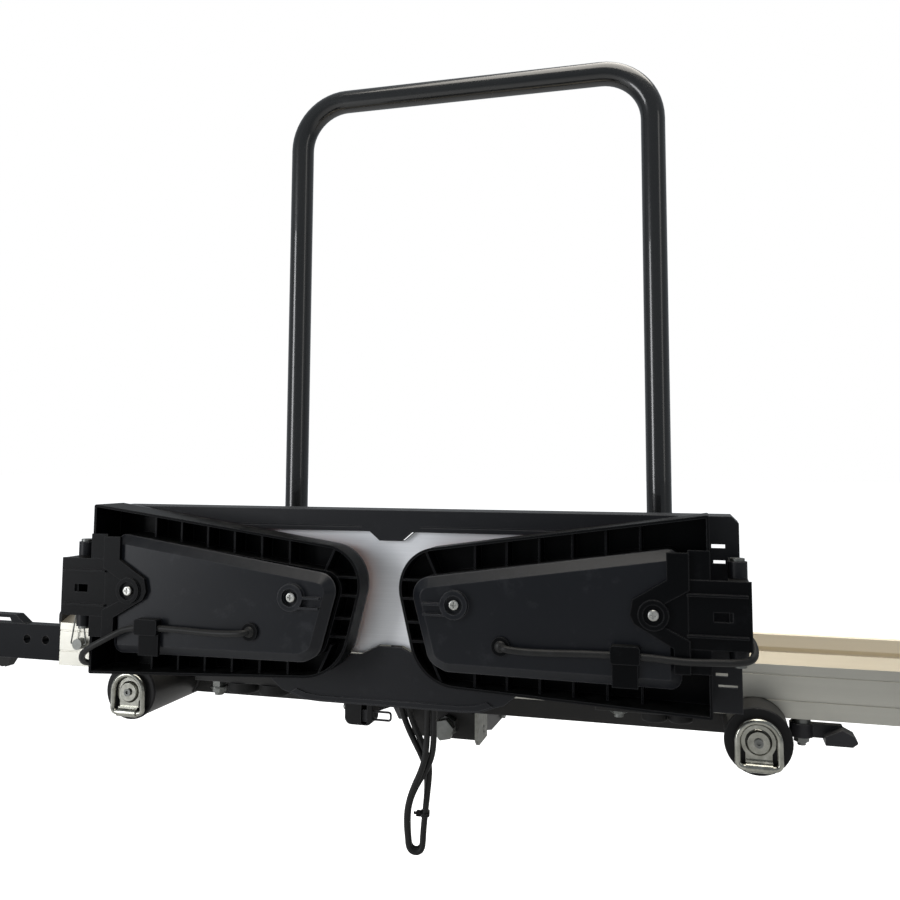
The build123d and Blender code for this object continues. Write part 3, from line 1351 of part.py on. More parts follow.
# Loom: two strands that hang in a tied loop behind the board
loom_routes = (
    ((-4.7, -354, 95), (-4.7, -336, 95), (-5.7, -320, 87), (-6.7, -310, 69), (-3.7, -304, 52.3),
     (2.3, -303, 36.7), (9.2, -303, 23.4), (14.8, -303, 11.4), (17.4, -303, -1), (16.8, -303.5, -13.7),
     (15.4, -304, -27.3), (14.1, -305, -40.8), (13, -306, -53.1), (12.2, -307.3, -67.2),
     (12, -308.1, -77.8), (8, -308.7, -81.8), (2.2, -309.3, -81.8), (-1.8, -309.9, -77.8),
     (-2.6, -311, -67), (-3.1, -313, -55.2), (-2.5, -314.5, -41.1), (0.8, -316, -27.6),
     (6.1, -317, -14.2), (12.5, -317.8, -1.3), (17.3, -318, 13.3), (18.9, -318, 28.9),
     (19.2, -318, 45.5), (20.7, -320, 74), (20.7, -326, 87), (20.7, -339, 95), (20.7, -354, 95)),
    ((-11.3, -354, 95), (-11.3, -336, 95), (-12.3, -320, 87), (-13.3, -310, 69), (-11.7, -304, 52.3),
     (-5.7, -303, 36.7), (1.2, -302.3, 23.4), (7.3, -300.3, 11.4), (11.8, -298.2, -1),
     (13.3, -297.4, -13.7), (13.3, -297.6, -27.3), (12.3, -298.5, -40.8), (11.3, -299.5, -53.1),
     (10.5, -300.8, -67.2), (10.3, -301.6, -77.8), (6.3, -302.2, -81.8), (0.5, -302.8, -81.8),
     (-3.5, -303.4, -77.8), (-4.3, -304.5, -67), (-4.3, -306.4, -55.2), (-3.5, -307.8, -41.1),
     (0.5, -309.1, -27.6), (7.3, -309.9, -14.2), (16, -311.3, -1.3), (22.9, -313.2, 13.3),
     (25.4, -315.6, 28.9), (25.9, -317.1, 45.5), (27.3, -320, 74), (27.3, -326, 87), (27.3, -339, 95),
     (27.3, -354, 95)),
)
strands = []
for route in loom_routes:
    bends = bend_radii(route, 60.0)
    print("loom strand", [round(r, 1) for r in bends])
    strands.append(pipe(route, loom_radius, bends, "strand"))
loom = Compound(children=strands)
save(loom, "loom_cables")

# Cable tie round the two strands
tie_x = 12.8
tie_y = -302.2
tie_z = -47.6
tie_turn = 15.0
with BuildPart() as zip_tie:
    with BuildSketch(level(tie_z)):
        with Locations((tie_x, tie_y)):
            RectangleRounded(9.2, 15.9, 4.5, rotation=tie_turn)
            RectangleRounded(6.8, 13.5, 3.39, rotation=tie_turn, mode=Mode.SUBTRACT)
    extrude(amount=3.2)
    with BuildSketch(level(tie_z - 0.8)):
        with Locations((tie_x - 6.3, tie_y - 1.5)):
            Rectangle(4.4, 5.0)
    extrude(amount=4.8)
    with BuildSketch(level(tie_z + 0.4)):
        with Locations((tie_x - 9.5, tie_y - 1.5)):
            Rectangle(4.0, 1.4)
    extrude(amount=2.4)
save(zip_tie.part, "zip_tie")
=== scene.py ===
# %% [markdown]
# This lesson dresses a tow bar motorcycle carrier: a steel frame that clamps on a tow ball, an
# aluminium wheel rail, a support hoop and a number plate board with two lamps folded in. The
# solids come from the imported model, in metres, so every piece is already in its place. What is
# left for Blender is the finish of each surface, the cables and the small shop details.

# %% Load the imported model
from math import cos, pi, sin, sqrt

import bpy
from mathutils import Matrix, Vector


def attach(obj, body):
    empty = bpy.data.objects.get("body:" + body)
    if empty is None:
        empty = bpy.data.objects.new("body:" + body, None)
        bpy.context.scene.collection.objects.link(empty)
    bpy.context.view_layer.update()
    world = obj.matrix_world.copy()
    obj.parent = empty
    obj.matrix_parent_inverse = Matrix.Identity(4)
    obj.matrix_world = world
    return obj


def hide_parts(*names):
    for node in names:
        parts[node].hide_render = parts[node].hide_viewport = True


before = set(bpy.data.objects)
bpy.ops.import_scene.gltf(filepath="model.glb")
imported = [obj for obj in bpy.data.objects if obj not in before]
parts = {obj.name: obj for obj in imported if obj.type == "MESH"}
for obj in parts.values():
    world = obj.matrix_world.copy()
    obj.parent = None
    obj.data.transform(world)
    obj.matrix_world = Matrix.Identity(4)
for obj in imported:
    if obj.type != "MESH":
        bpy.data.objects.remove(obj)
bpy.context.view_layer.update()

print("solids loaded:", len(parts))

# %% [markdown]
# The camera comes first, because everything else is judged through it. The photograph was taken
# from behind the car, from the right of the tow ball, with the lens turned fifteen degrees to
# the left and tilted five degrees up. A small vertical shift stands for the crop of the picture.

# %% Camera
def add_object(name, data):
    """A new object in the scene that shows a mesh, a curve, a light or a camera."""
    made = bpy.data.objects.new(name, data)
    bpy.context.scene.collection.objects.link(made)
    return made


camera_place = Vector((0.29104, -1.21688, 0.30555))
turn_left, tilt_up, lean = 0.2708, 0.0889, 0.004
focal_pixels, picture_pixels, centre_row = 909.6, 900, 383.6

level_forward = Vector((-sin(turn_left), cos(turn_left), 0))
level_right = Vector((cos(turn_left), sin(turn_left), 0))
forward = level_forward * cos(tilt_up) + Vector((0, 0, sin(tilt_up)))
upright = Vector((0, 0, cos(tilt_up))) - level_forward * sin(tilt_up)
right = level_right * cos(lean) + upright * sin(lean)
up = upright * cos(lean) - level_right * sin(lean)

lens = bpy.data.cameras.new("photo_camera")
lens.sensor_width = 36
lens.lens = focal_pixels * lens.sensor_width / picture_pixels
lens.shift_y = (centre_row - picture_pixels / 2) / picture_pixels
lens.clip_start = 0.01
camera = add_object("photo_camera", lens)
columns = Matrix((right, up, -forward)).transposed().to_4x4()
camera.matrix_world = Matrix.Translation(camera_place) @ columns
bpy.context.scene.camera = camera
print("lens in millimetres:", round(lens.lens, 2))

# %% [markdown]
# A cable is a fixed length of something flexible. Each one is a NURBS curve with a round bevel:
# the control points are where a fitter would say that the cable goes, and the curve cuts its
# corners softly, as rubber does. A polyline would show kinks, and a mesh tube would need its own
# smoothing. The bevel is one metre and each point's radius brings it down to the real thickness,
# which keeps the curve's own box tight, because Blender adds the radius to it.

# %% Cable helper
def metres(point):
    """A point in metres, from a point in millimetres."""
    return tuple(value / 1000 for value in point)


def cable_curve(name, points, diameter):
    """A round cable near these points, which are in millimetres; the diameter is in metres."""
    line = bpy.data.curves.new(name, "CURVE")
    line.dimensions = "3D"
    line.bevel_depth = 1
    line.bevel_resolution = 6
    line.resolution_u = 12
    spline = line.splines.new("NURBS")
    spline.points.add(len(points) - 1)
    for control, point in zip(spline.points, points):
        control.co = (*metres(point), 1)
        control.radius = diameter / 2
    spline.order_u = 3
    spline.use_endpoint_u = True
    return add_object(name, line)


print("cable helper ready")

# %% [markdown]
# Each lamp's cable leaves the grommet in the lamp's back plate, runs through the clip, bends
# round the hinge and goes into the end of the board. It rides on its lamp.

# %% Lamp cables
lamp_cable_diameter = 0.006
lamp_cable_points = {
    "left": (
        (-119.5, -425.5, 149.5), (-119.5, -439, 149.5), (-133, -439.5, 148),
        (-157, -437.8, 147), (-195, -437, 148.6), (-246, -437, 148.5), (-264, -440.2, 139),
        (-283, -440.2, 129.5), (-296, -437.5, 122), (-302.5, -431.5, 114), (-306, -420, 107.5),
        (-305.5, -404, 105), (-304.6, -388, 104.6), (-304.4, -371, 104.5)),
    "right": (
        (119.5, -425.5, 149.5), (119.5, -439, 149.5), (133, -439.5, 147.7), (157, -437.8, 147),
        (195, -437, 148.6), (244, -437, 148.5), (263, -440.4, 147.6), (281, -440.8, 147.2),
        (298, -440, 148), (314, -438.5, 148.3), (325.5, -432.5, 149.3), (329.5, -419.5, 152.5),
        (328.3, -404, 159.5), (320.5, -391, 164.5), (308.5, -383, 166), (308.5, -372, 166.05)),
}
lamp_cables = {}
for side, points in lamp_cable_points.items():
    cable = cable_curve(f"lamp_{side}_cable_sheath", points, lamp_cable_diameter)
    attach(cable, f"lamp_{side}")
    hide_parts(f"lamp_{side}_cable")
    lamp_cables[side] = cable
print("lamp cables:", sorted(lamp_cables))

# %% [markdown]
# The loom to the car's socket is two cables that leave the board through one gland, hang in a
# loop below the coupling and go back up through the second gland. A tie holds the pair together.

# %% Loom strands
loom_diameter = 0.0062
loom_points = (
    ((-4.7, -354, 95), (-4.7, -336, 95), (-5.7, -320, 87), (-6.7, -310, 69), (-3.7, -304, 52.3),
     (2.3, -303, 36.7), (9.2, -303, 23.4), (14.8, -303, 11.4), (17.4, -303, -1),
     (16.8, -303.5, -13.7), (15.4, -304, -27.3), (14.1, -305, -40.8), (13, -306, -53.1),
     (12.2, -307.3, -67.2), (12, -308.1, -77.8), (8, -308.7, -81.8), (2.2, -309.3, -81.8),
     (-1.8, -309.9, -77.8), (-2.6, -311, -67), (-3.1, -313, -55.2), (-2.5, -314.5, -41.1),
     (0.8, -316, -27.6), (6.1, -317, -14.2), (12.5, -317.8, -1.3), (17.3, -318, 13.3),
     (18.9, -318, 28.9), (19.2, -318, 45.5), (20.7, -320, 74), (20.7, -326, 87),
     (20.7, -339, 95), (20.7, -354, 95)),
    ((-11.3, -354, 95), (-11.3, -336, 95), (-12.3, -320, 87), (-13.3, -310, 69),
     (-11.7, -304, 52.3), (-5.7, -303, 36.7), (1.2, -302.3, 23.4), (7.3, -300.3, 11.4),
     (11.8, -298.2, -1), (13.3, -297.4, -13.7), (13.3, -297.6, -27.3), (12.3, -298.5, -40.8),
     (11.3, -299.5, -53.1), (10.5, -300.8, -67.2), (10.3, -301.6, -77.8), (6.3, -302.2, -81.8),
     (0.5, -302.8, -81.8), (-3.5, -303.4, -77.8), (-4.3, -304.5, -67), (-4.3, -306.4, -55.2),
     (-3.5, -307.8, -41.1), (0.5, -309.1, -27.6), (7.3, -309.9, -14.2), (16, -311.3, -1.3),
     (22.9, -313.2, 13.3), (25.4, -315.6, 28.9), (25.9, -317.1, 45.5), (27.3, -320, 74),
     (27.3, -326, 87), (27.3, -339, 95), (27.3, -354, 95)),
)
loom_strands = []
for number, points in enumerate(loom_points, 1):
    strand = cable_curve(f"loom_strand_{number}", points, loom_diameter)
    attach(strand, "frame")
    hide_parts("loom_cables")
    loom_strands.append(strand)
print("loom strands:", len(loom_strands))

# %% [markdown]
# The length is read from the curve itself: a copy of the curve without its bevel is turned into
# a mesh, and its edges are added up.

def curve_length(cable):
    """The length of a cable along its middle, in metres."""
    bare = cable.data.copy()
    bare.bevel_depth = 0
    probe = add_object("probe", bare)
    bpy.context.view_layer.update()
    evaluated = probe.evaluated_get(bpy.context.evaluated_depsgraph_get())
    line = bpy.data.meshes.new_from_object(evaluated)
    spots = [vertex.co for vertex in line.vertices]
    length = sum((spots[a] - spots[b]).length for a, b in (e.vertices for e in line.edges))
    bpy.data.objects.remove(probe)
    bpy.data.meshes.remove(line)
    return length


for side, cable in lamp_cables.items():
    measured = curve_length(cable)
    print(cable.name, "is", round(measured, 3), "m long")
for number, strand in enumerate(loom_strands):
    measured = curve_length(strand)
    print(strand.name, "is", round(measured, 3), "m long")

# %% [markdown]
# A material is a net of nodes, and a long net is hard to read in code. So a small class stands
# for the result of a node: a sum or product of results adds its Math nodes by itself. A second
# class holds the net of one material, and one method of it makes any node. The patterns that
# many finishes share, such as cloudy noise, relief and the mask for painted edge highlights, are
# written on it once.

# %% Shader helpers
class Value:
    """The result of a node, with which shader sums are written as plain expressions."""

    def __init__(self, finish, socket):
        self.finish = finish
        self.socket = socket

    def reckon(self, operation, *terms):
        return self.finish.node("ShaderNodeMath", {"operation": operation}, dict(enumerate(terms)))

    def __add__(self, other):
        return self.reckon("ADD", self, other)

    def __sub__(self, other):
        return self.reckon("SUBTRACT", self, other)

    def __rsub__(self, other):
        return self.reckon("SUBTRACT", other, self)

    def __mul__(self, other):
        return self.reckon("MULTIPLY", self, other)

    __radd__ = __add__
    __rmul__ = __mul__

    def between(self, low, high):
        """0 below low, 1 above high, and a straight ramp between."""
        return self.finish.node("ShaderNodeMapRange", {"clamp": True},
                                {"Value": self, "From Min": low, "From Max": high})


class Finish:
    """A material or world, its nodes, and the one method that makes any of them."""

    def __init__(self, name, tree_owner=None):
        self.material = tree_owner or bpy.data.materials.new(name)
        self.material.use_nodes = True
        self.tree = self.material.node_tree
        self.tree.nodes.clear()

    def node(self, kind, settings=None, inputs=None, output=0):
        """A node with its settings, then the values or links of its sockets."""
        made = self.tree.nodes.new(kind)
        for name, value in (settings or {}).items():
            setattr(made, name, value)
        for name, value in (inputs or {}).items():
            if isinstance(value, Value):
                self.tree.links.new(value.socket, made.inputs[name])
            else:
                made.inputs[name].default_value = value
        return Value(self, made.outputs[output]) if made.outputs else None

    def place(self):
        """Where a point is on its own piece, in metres, so the pattern moves with the piece."""
        return self.node("ShaderNodeTexCoord", output="Object")

    def facing(self, axis):
        """How far the surface faces along an axis of the piece: X, Y or Z."""
        normal = self.node("ShaderNodeTexCoord", output="Normal")
        return self.node("ShaderNodeSeparateXYZ", inputs={"Vector": normal}, output=axis)

    def along(self, axis):
        """How far a point lies along an axis of the piece, in metres."""
        return self.node("ShaderNodeSeparateXYZ", inputs={"Vector": self.place()}, output=axis)

    def noise(self, size, detail=4.0, rough=0.55, stretch=(1, 1, 1)):
        """Cloudy pattern from 0 to 1 whose blotches are about this many metres across."""
        where = self.node("ShaderNodeMapping", inputs={"Vector": self.place(), "Scale": stretch})
        return self.node("ShaderNodeTexNoise", inputs={"Vector": where, "Scale": 1 / size,
                                                      "Detail": detail, "Roughness": rough})

    def mix(self, share, first, second):
        """Two colours mixed: share 0 is the first one. Sockets 6 and 7 are the colour ones."""
        colours = {i: c if isinstance(c, Value) else (*c, 1) for i, c in ((6, first), (7, second))}
        return self.node("ShaderNodeMix", {"data_type": "RGBA"}, {0: share, **colours}, output=2)

    def bump(self, height, depth, below=None):
        """Relief of a height from 0 to 1, this many metres deep."""
        inputs = {"Height": height, "Distance": depth, "Strength": 1.0}
        if below:
            inputs["Normal"] = below
        return self.node("ShaderNodeBump", inputs=inputs)

    def rounded(self, radius):
        """Normals that round a sharp edge off, for the small radius that every real edge has."""
        return self.node("ShaderNodeBevel", {"samples": 4}, {"Radius": radius})

    def edges(self, radius):
        """1 along sharp edges, where a painted highlight and wear go, and 0 on flat faces."""
        flat = self.node("ShaderNodeNewGeometry", output="Normal")
        turned = self.node("ShaderNodeVectorMath", {"operation": "DOT_PRODUCT"},
                           {0: self.rounded(radius), 1: flat}, output="Value")
        return (1 - turned).between(0.01, 0.2)

    def surface(self, **sockets):
        """The Principled shader, with underscores in a socket's name for its spaces."""
        inputs = {name.replace("_", " "): value for name, value in sockets.items()}
        shader = self.node("ShaderNodeBsdfPrincipled", inputs=inputs)
        self.node("ShaderNodeOutputMaterial", inputs={"Surface": shader})
        return self.material


print("shader helpers ready")

# %% [markdown]
# The picture has a plain white ground, so the floor and the world look white to the camera,
# while the light that reaches the carrier stays at a plain level. Light Path's camera and
# transmission outputs choose the white look. The floor's white is added to its real shading, so
# it keeps a soft shadow. It lies 0.4 m below the ball, the height of a tow ball over the road.

# %% Floor
def seen_directly(finish):
    """1 for rays from the camera, also through something clear, and 0 for any other ray."""
    from_camera = finish.node("ShaderNodeLightPath", output="Is Camera Ray")
    through_clear = finish.node("ShaderNodeLightPath", output="Is Transmission Ray")
    return (from_camera + through_clear).between(0, 1)


floor_height, reach = -0.40, 40
floor_mesh = bpy.data.meshes.new("floor")
floor_mesh.from_pydata([(-reach, -reach, floor_height), (reach, -reach, floor_height),
                        (reach, reach, floor_height), (-reach, reach, floor_height)],
                       [], [(0, 1, 2, 3)])
floor = add_object("floor", floor_mesh)

ground = Finish("pale_floor")
looks_white = seen_directly(ground)
paint = ground.node("ShaderNodeBsdfDiffuse", inputs={"Color": (0.8, 0.8, 0.8, 1)})
white = ground.node("ShaderNodeEmission", inputs={"Color": (1, 1, 1, 1), "Strength": 0.86})
lifted = ground.node("ShaderNodeAddShader", inputs={0: paint, 1: white})
chosen = ground.node("ShaderNodeMixShader", inputs={0: looks_white, 1: paint, 2: lifted})
ground.node("ShaderNodeOutputMaterial", inputs={"Surface": chosen})
floor_mesh.materials.append(ground.material)
print("floor at", floor_height, "m")

# %% [markdown]
# The world gives a dim, slightly blue light from all sides, as a white room does. A wide warm
# lamp overhead draws the bright tops of the caps and of the rail, whose warmer tan is also
# painted light, a tall cool one from the left draws the thin lines on the hoop's legs, and a weak
# one from the right opens the dark side.

# %% World light
world = bpy.data.worlds.new("studio")
bpy.context.scene.world = world
sky = Finish("studio", world)
looks_white = seen_directly(sky)
plain = sky.node("ShaderNodeBackground", inputs={"Color": (0.88, 0.94, 1, 1), "Strength": 0.36})
bright = sky.node("ShaderNodeBackground", inputs={"Color": (1, 1, 1, 1), "Strength": 1.0})
room = sky.node("ShaderNodeMixShader", inputs={0: looks_white, 1: plain, 2: bright})
sky.node("ShaderNodeOutputWorld", inputs={"Surface": room})
print("world light ready")

# %% Lamps of the studio
def soft_light(name, place, aim, size, power, tint):
    light = bpy.data.lights.new(name, "AREA")
    light.shape = "RECTANGLE"
    light.size, light.size_y = size
    light.energy = power
    light.color = tint
    holder = add_object(name, light)
    holder.location = place
    holder.rotation_euler = (Vector(aim) - Vector(place)).to_track_quat("-Z", "Y").to_euler()


soft_light("overhead", (0.3, -0.3, 2.4), (0.1, -0.2, 0.1), (2.6, 1.4), 55, (1, 0.95, 0.87))
soft_light("window_right", (2.6, -1.6, 1.1), (0.1, -0.2, 0.3), (0.6, 1.8), 5, (1, 0.97, 0.93))
soft_light("window_left", (-1.95, -2.2, 0.55), (-0.4, -0.25, 0.15), (0.7, 1.5), 30,
           (0.97, 0.98, 1))

# %% [markdown]
# The frame of the carrier is steel with a satin powder coat. Powder melts into a skin with a
# fine orange peel, so the finish is a near black colour with a small bump two millimetres wide,
# a roughness that wanders a little, road dust that settles on what faces up, and a painted
# highlight along each edge, a paler line that also stands for the thin, worn powder there.

# %% Satin powder coat
def powder_coat(name, colour, shine, dust=0.3, glint=0.22):
    coat = Finish(name)
    road_dust, painted_edge_highlight = (0.16, 0.15, 0.13), (0.13, 0.13, 0.13)
    peel_size, peel_depth, edge_radius = 0.0018, 0.00004, 0.0008
    peel = coat.noise(peel_size, 2)
    cloud = coat.noise(0.09, 5)
    upward = coat.facing("Z").between(0.35, 0.95)
    settled = upward * coat.noise(0.03, 6).between(0.35, 0.75) * dust
    body = coat.mix(cloud.between(0.3, 0.7), colour, tuple(1.5 * c for c in colour))
    dusty = coat.mix(settled * 0.45, body, road_dust)
    # Painted highlight: a paler grey along each sharp edge, which also stands for thin, worn
    # powder.
    with_painted_edge_highlight = coat.mix(coat.edges(0.0014) * 0.5, dusty, painted_edge_highlight)
    rough = shine + cloud * 0.10 - 0.05 + settled * 0.25
    normal = coat.bump(peel, peel_depth, coat.rounded(edge_radius))
    return coat.surface(Base_Color=with_painted_edge_highlight, Roughness=rough, Normal=normal,
                        Specular_IOR_Level=glint)


frame_coat = powder_coat("satin_powder_coat", (0.014, 0.0135, 0.013), 0.42)
holder_coat = powder_coat("holder_powder_coat", (0.0030, 0.0036, 0.0048), 0.36, 0.10, 0.08)
lever_coat = powder_coat("lever_powder_coat", (0.016, 0.016, 0.018), 0.38, 0.2)
print("powder coats:", frame_coat.name, holder_coat.name, lever_coat.name)

# %% [markdown]
# The hoop has a deep gloss black coat, in which a window shows as a thin bright line along each
# leg. A clear coat over a black base gives that double reflection, and a slow wave in the normal
# makes the line waver the way sprayed tube does. Specks of dust lie on it.

# %% Gloss black hoop
def gloss_black():
    gloss = Finish("gloss_black_tube")
    wave = gloss.noise(0.012, 2, stretch=(1, 1, 0.35))
    specks = gloss.noise(0.0012, 2).between(0.68, 0.8)
    film = gloss.noise(0.12, 5).between(0.3, 0.75)
    colour = gloss.mix(specks * 0.35, (0.006, 0.0065, 0.007), (0.08, 0.08, 0.08))
    wave_depth = 0.00006
    normal = gloss.bump(wave, wave_depth)
    return gloss.surface(Base_Color=colour, Roughness=0.20 + film * 0.12, Normal=normal,
                         Specular_IOR_Level=0.35, Coat_Weight=0.6, Coat_Roughness=0.04)


hoop_gloss = gloss_black()
print("hoop finish:", hoop_gloss.name)

# %% [markdown]
# The wheel rail is an aluminium extrusion. The die draws fine lines along its whole length, so
# one noise is stretched hugely along x and squeezed across. It feeds the roughness, the colour
# and a very shallow bump. Handling leaves duller clouds. What faces up is painted a warmer tan,
# as painted warm light from above. The far wall's inner face is painted as a pale tan band, a
# painted pool of light, with less metal in it, picked by where a point lies on the rail.

# %% Extruded aluminium
def extruded_aluminium():
    rail = Finish("extruded_aluminium")
    behind_channel, above_floor = (-0.150, -0.149), (0.088, 0.089)
    line_depth, edge_radius = 0.00003, 0.0006
    lines = rail.noise(0.0009, 3, stretch=(0.004, 1, 1))
    bands = rail.noise(0.012, 3, stretch=(0.01, 1, 1))
    handling = rail.noise(0.06, 6).between(0.45, 0.8)
    side_colour = rail.mix(bands, (0.46, 0.45, 0.405), (0.55, 0.54, 0.485))
    # Painted light: what faces up gets a warmer tan, for warm light from above.
    painted_warm_top_colour = rail.mix(bands, (0.43, 0.385, 0.30), (0.50, 0.45, 0.355))
    colour = rail.mix(rail.facing("Z").between(0.15, 0.5), side_colour, painted_warm_top_colour)
    worn = rail.mix(handling * 0.35, colour, (0.36, 0.345, 0.31))
    # Painted light: the far wall's inner face gets a pale tan of its own, a painted pool of light.
    inner_face = rail.along("Y").between(*behind_channel) * rail.along("Z").between(*above_floor)
    inner_face_painted_light = rail.mix(inner_face, worn, (1.0, 0.90, 0.72))
    rough = 0.30 + lines * 0.14 + handling * 0.12 + inner_face * 0.25
    normal = rail.bump(lines, line_depth, rail.rounded(edge_radius))
    return rail.surface(Base_Color=inner_face_painted_light, Metallic=0.92 - inner_face * 0.85, Roughness=rough,
                        Normal=normal)


rail_metal = extruded_aluminium()
print("rail finish:", rail_metal.name)

# %% [markdown]
# Bolts and pins are zinc plated. Plating is a soft grey metal, duller where fingers and salt
# have been, and the lamps' screws have a newer and paler one. The D-rings and their plates are
# tumbled stainless steel, smoother and brighter, with fine scratches in all directions. The
# loom's bracket is galvanised sheet.

# %% Plated and stainless steel
def plated(name, colour, bloom, rough, scratch):
    metal = Finish(name)
    edge_radius = 0.0004
    cloud = metal.noise(0.006, 5)
    salt = metal.noise(0.02, 7).between(0.55, 0.8)
    scratches = (metal.noise(0.0004, 2, stretch=(1, 0.12, 1))
                 + metal.noise(0.0005, 2, stretch=(0.12, 1, 1)))
    tinted = metal.mix(cloud.between(0.3, 0.7), colour, bloom)
    shade = metal.mix(salt * 0.3, tinted, (0.40, 0.39, 0.36))
    normal = metal.bump(scratches * 0.5, scratch, metal.rounded(edge_radius))
    return metal.surface(Base_Color=shade, Metallic=0.95, Normal=normal,
                         Roughness=rough + cloud * 0.12 + salt * 0.2)


zinc = plated("zinc_plate", (0.19, 0.195, 0.19), (0.15, 0.155, 0.145), 0.36, 0.000012)
screw_plate = plated("bright_zinc_screws", (0.50, 0.50, 0.48), (0.40, 0.40, 0.37), 0.30, 0.000010)
stainless = plated("tumbled_stainless", (0.40, 0.40, 0.36), (0.24, 0.24, 0.21), 0.12, 0.000008)
galvanised = plated("galvanised_sheet", (0.27, 0.27, 0.25), (0.20, 0.20, 0.18), 0.44, 0.000015)
print("metals:", zinc.name, screw_plate.name, stainless.name, galvanised.name)

# %% [markdown]
# The cup and the jaw that clamp the ball are forged and blackened. Forge scale leaves a coarse
# skin. In worn patches bare metal shines through, so they are paler and a little smoother.

# %% Blackened forging
def forging():
    forged = Finish("blackened_forging")
    scale_depth, edge_radius = 0.0002, 0.001
    scale = forged.noise(0.0035, 6, 0.65)
    worn = forged.noise(0.018, 6).between(0.55, 0.75)
    colour = forged.mix(worn, (0.028, 0.028, 0.030), (0.11, 0.105, 0.10))
    normal = forged.bump(scale, scale_depth, forged.rounded(edge_radius))
    return forged.surface(Base_Color=colour, Metallic=0.6, Normal=normal,
                          Roughness=0.46 + scale * 0.2 - worn * 0.12)


cup_forging = forging()
print("coupling finish:", cup_forging.name)

# %% [markdown]
# The board and the lamps are injection moulded plastic with a fine grain from the mould. Black
# plastic is never quite black: a painted cool grey highlight lies along its edges, standing also
# for wear there, and faint flow marks show in its sheen. The grain is half a millimetre wide, the
# flow marks are as wide as a hand.

# %% Moulded plastics
def moulded(name, colour, rough, grain=0.0005, depth=0.00003, edge=0.0008, scuff=0.35,
            painted_edge_share=0.4, glint=0.2):
    plastic = Finish(name)
    scuff_grey, edge_highlight_grey = (0.045, 0.047, 0.052), (0.10, 0.10, 0.105)
    dust_grey = (0.10, 0.098, 0.092)
    pits = plastic.noise(grain, 2)
    flow = plastic.noise(0.11, 3, stretch=(0.6, 1, 1.4))
    rubbed = plastic.noise(0.02, 8, 0.7).between(0.56, 0.72) * scuff
    upward = plastic.facing("Z").between(0.5, 1)
    settled = upward * plastic.noise(0.012, 6).between(0.3, 0.8) * 0.35
    body = plastic.mix(flow, colour, tuple(1.35 * c for c in colour))
    scuffed = plastic.mix(rubbed * 0.4, body, scuff_grey)
    dusty = plastic.mix(settled * 0.6, scuffed, dust_grey)
    # Painted highlight: a cool grey along each edge, which also stands for wear there.
    with_painted_edge_highlight = plastic.mix(plastic.edges(2 * edge) * painted_edge_share, dusty, edge_highlight_grey)
    shine = rough + flow * 0.12 - 0.06 + rubbed * 0.15 + settled * 0.2
    normal = plastic.bump(pits, depth, plastic.rounded(edge))
    return plastic.surface(Base_Color=with_painted_edge_highlight, Roughness=shine, Normal=normal,
                           Specular_IOR_Level=glint)


board_plastic = moulded("board_plastic", (0.0085, 0.009, 0.0108), 0.38, painted_edge_share=0.5)
lamp_plastic = moulded("lamp_shell_plastic", (0.0016, 0.0018, 0.0022), 0.36, scuff=0.15,
                       painted_edge_share=0.25, glint=0.07)
back_plastic = moulded("lamp_back_plastic", (0.0056, 0.0064, 0.0085), 0.34,
                       0.0009, 0.00002, 0.001, 0.6)
cap_plastic = moulded("cap_plastic", (0.0045, 0.0045, 0.0048), 0.50, 0.0007, 0.00005)
grip_rubber = moulded("soft_rubber", (0.009, 0.009, 0.009), 0.60, 0.0006, 0.00006)
print("plastics:", board_plastic.name, lamp_plastic.name, back_plastic.name, cap_plastic.name,
      grip_rubber.name)

# %% [markdown]
# A lens faces the board while the lamp is folded in, and shows once it is folded out. It is one
# part with a red field, an amber field for the indicator at the lamp's free end and a white one
# for reversing. Rows of prisms on its inside are drawn as a waffle in the normal. Its welded
# edge is black, so the colours are masked by how far the surface faces forward.

# %% Lens
def lamp_lens():
    lens_finish = Finish("lamp_lens")
    amber_border, white_border = (0.098, 0.0982), (0.226, 0.2262)
    prism_turns, prism_depth = 900, 0.0003
    sideways, upwards = lens_finish.along("X"), lens_finish.along("Z")
    across = sideways.reckon("ABSOLUTE", sideways)
    amber = 1 - across.between(*amber_border)
    clear = across.between(*white_border)
    rows = sideways.reckon("SINE", sideways * prism_turns)
    columns_of_prisms = upwards.reckon("SINE", upwards * prism_turns)
    prisms = (rows * columns_of_prisms).between(-1, 1)
    red = lens_finish.mix(prisms, (0.15, 0.002, 0.002), (0.22, 0.003, 0.003))
    with_amber = lens_finish.mix(amber, red, (0.42, 0.10, 0.003))
    all_fields = lens_finish.mix(clear, with_amber, (0.62, 0.63, 0.64))
    front = lens_finish.facing("Y").between(0.4, 0.7)
    masked = lens_finish.mix(front, (0.012, 0.010, 0.010), all_fields)
    haze = lens_finish.noise(0.03, 5).between(0.5, 0.8)
    normal = lens_finish.bump(prisms * front, prism_depth)
    return lens_finish.surface(Base_Color=masked, Roughness=0.10 + haze * 0.10, Normal=normal,
                               Specular_IOR_Level=0.3, Coat_Weight=front * 0.3,
                               Coat_Roughness=0.04)


lens_plastic = lamp_lens()
print("lens finish:", lens_plastic.name)

# %% [markdown]
# The circuit board behind the lens is green solder mask with copper runs under it. The light
# emitting diodes stand proud of it towards the lens, so their height along y picks their colour.

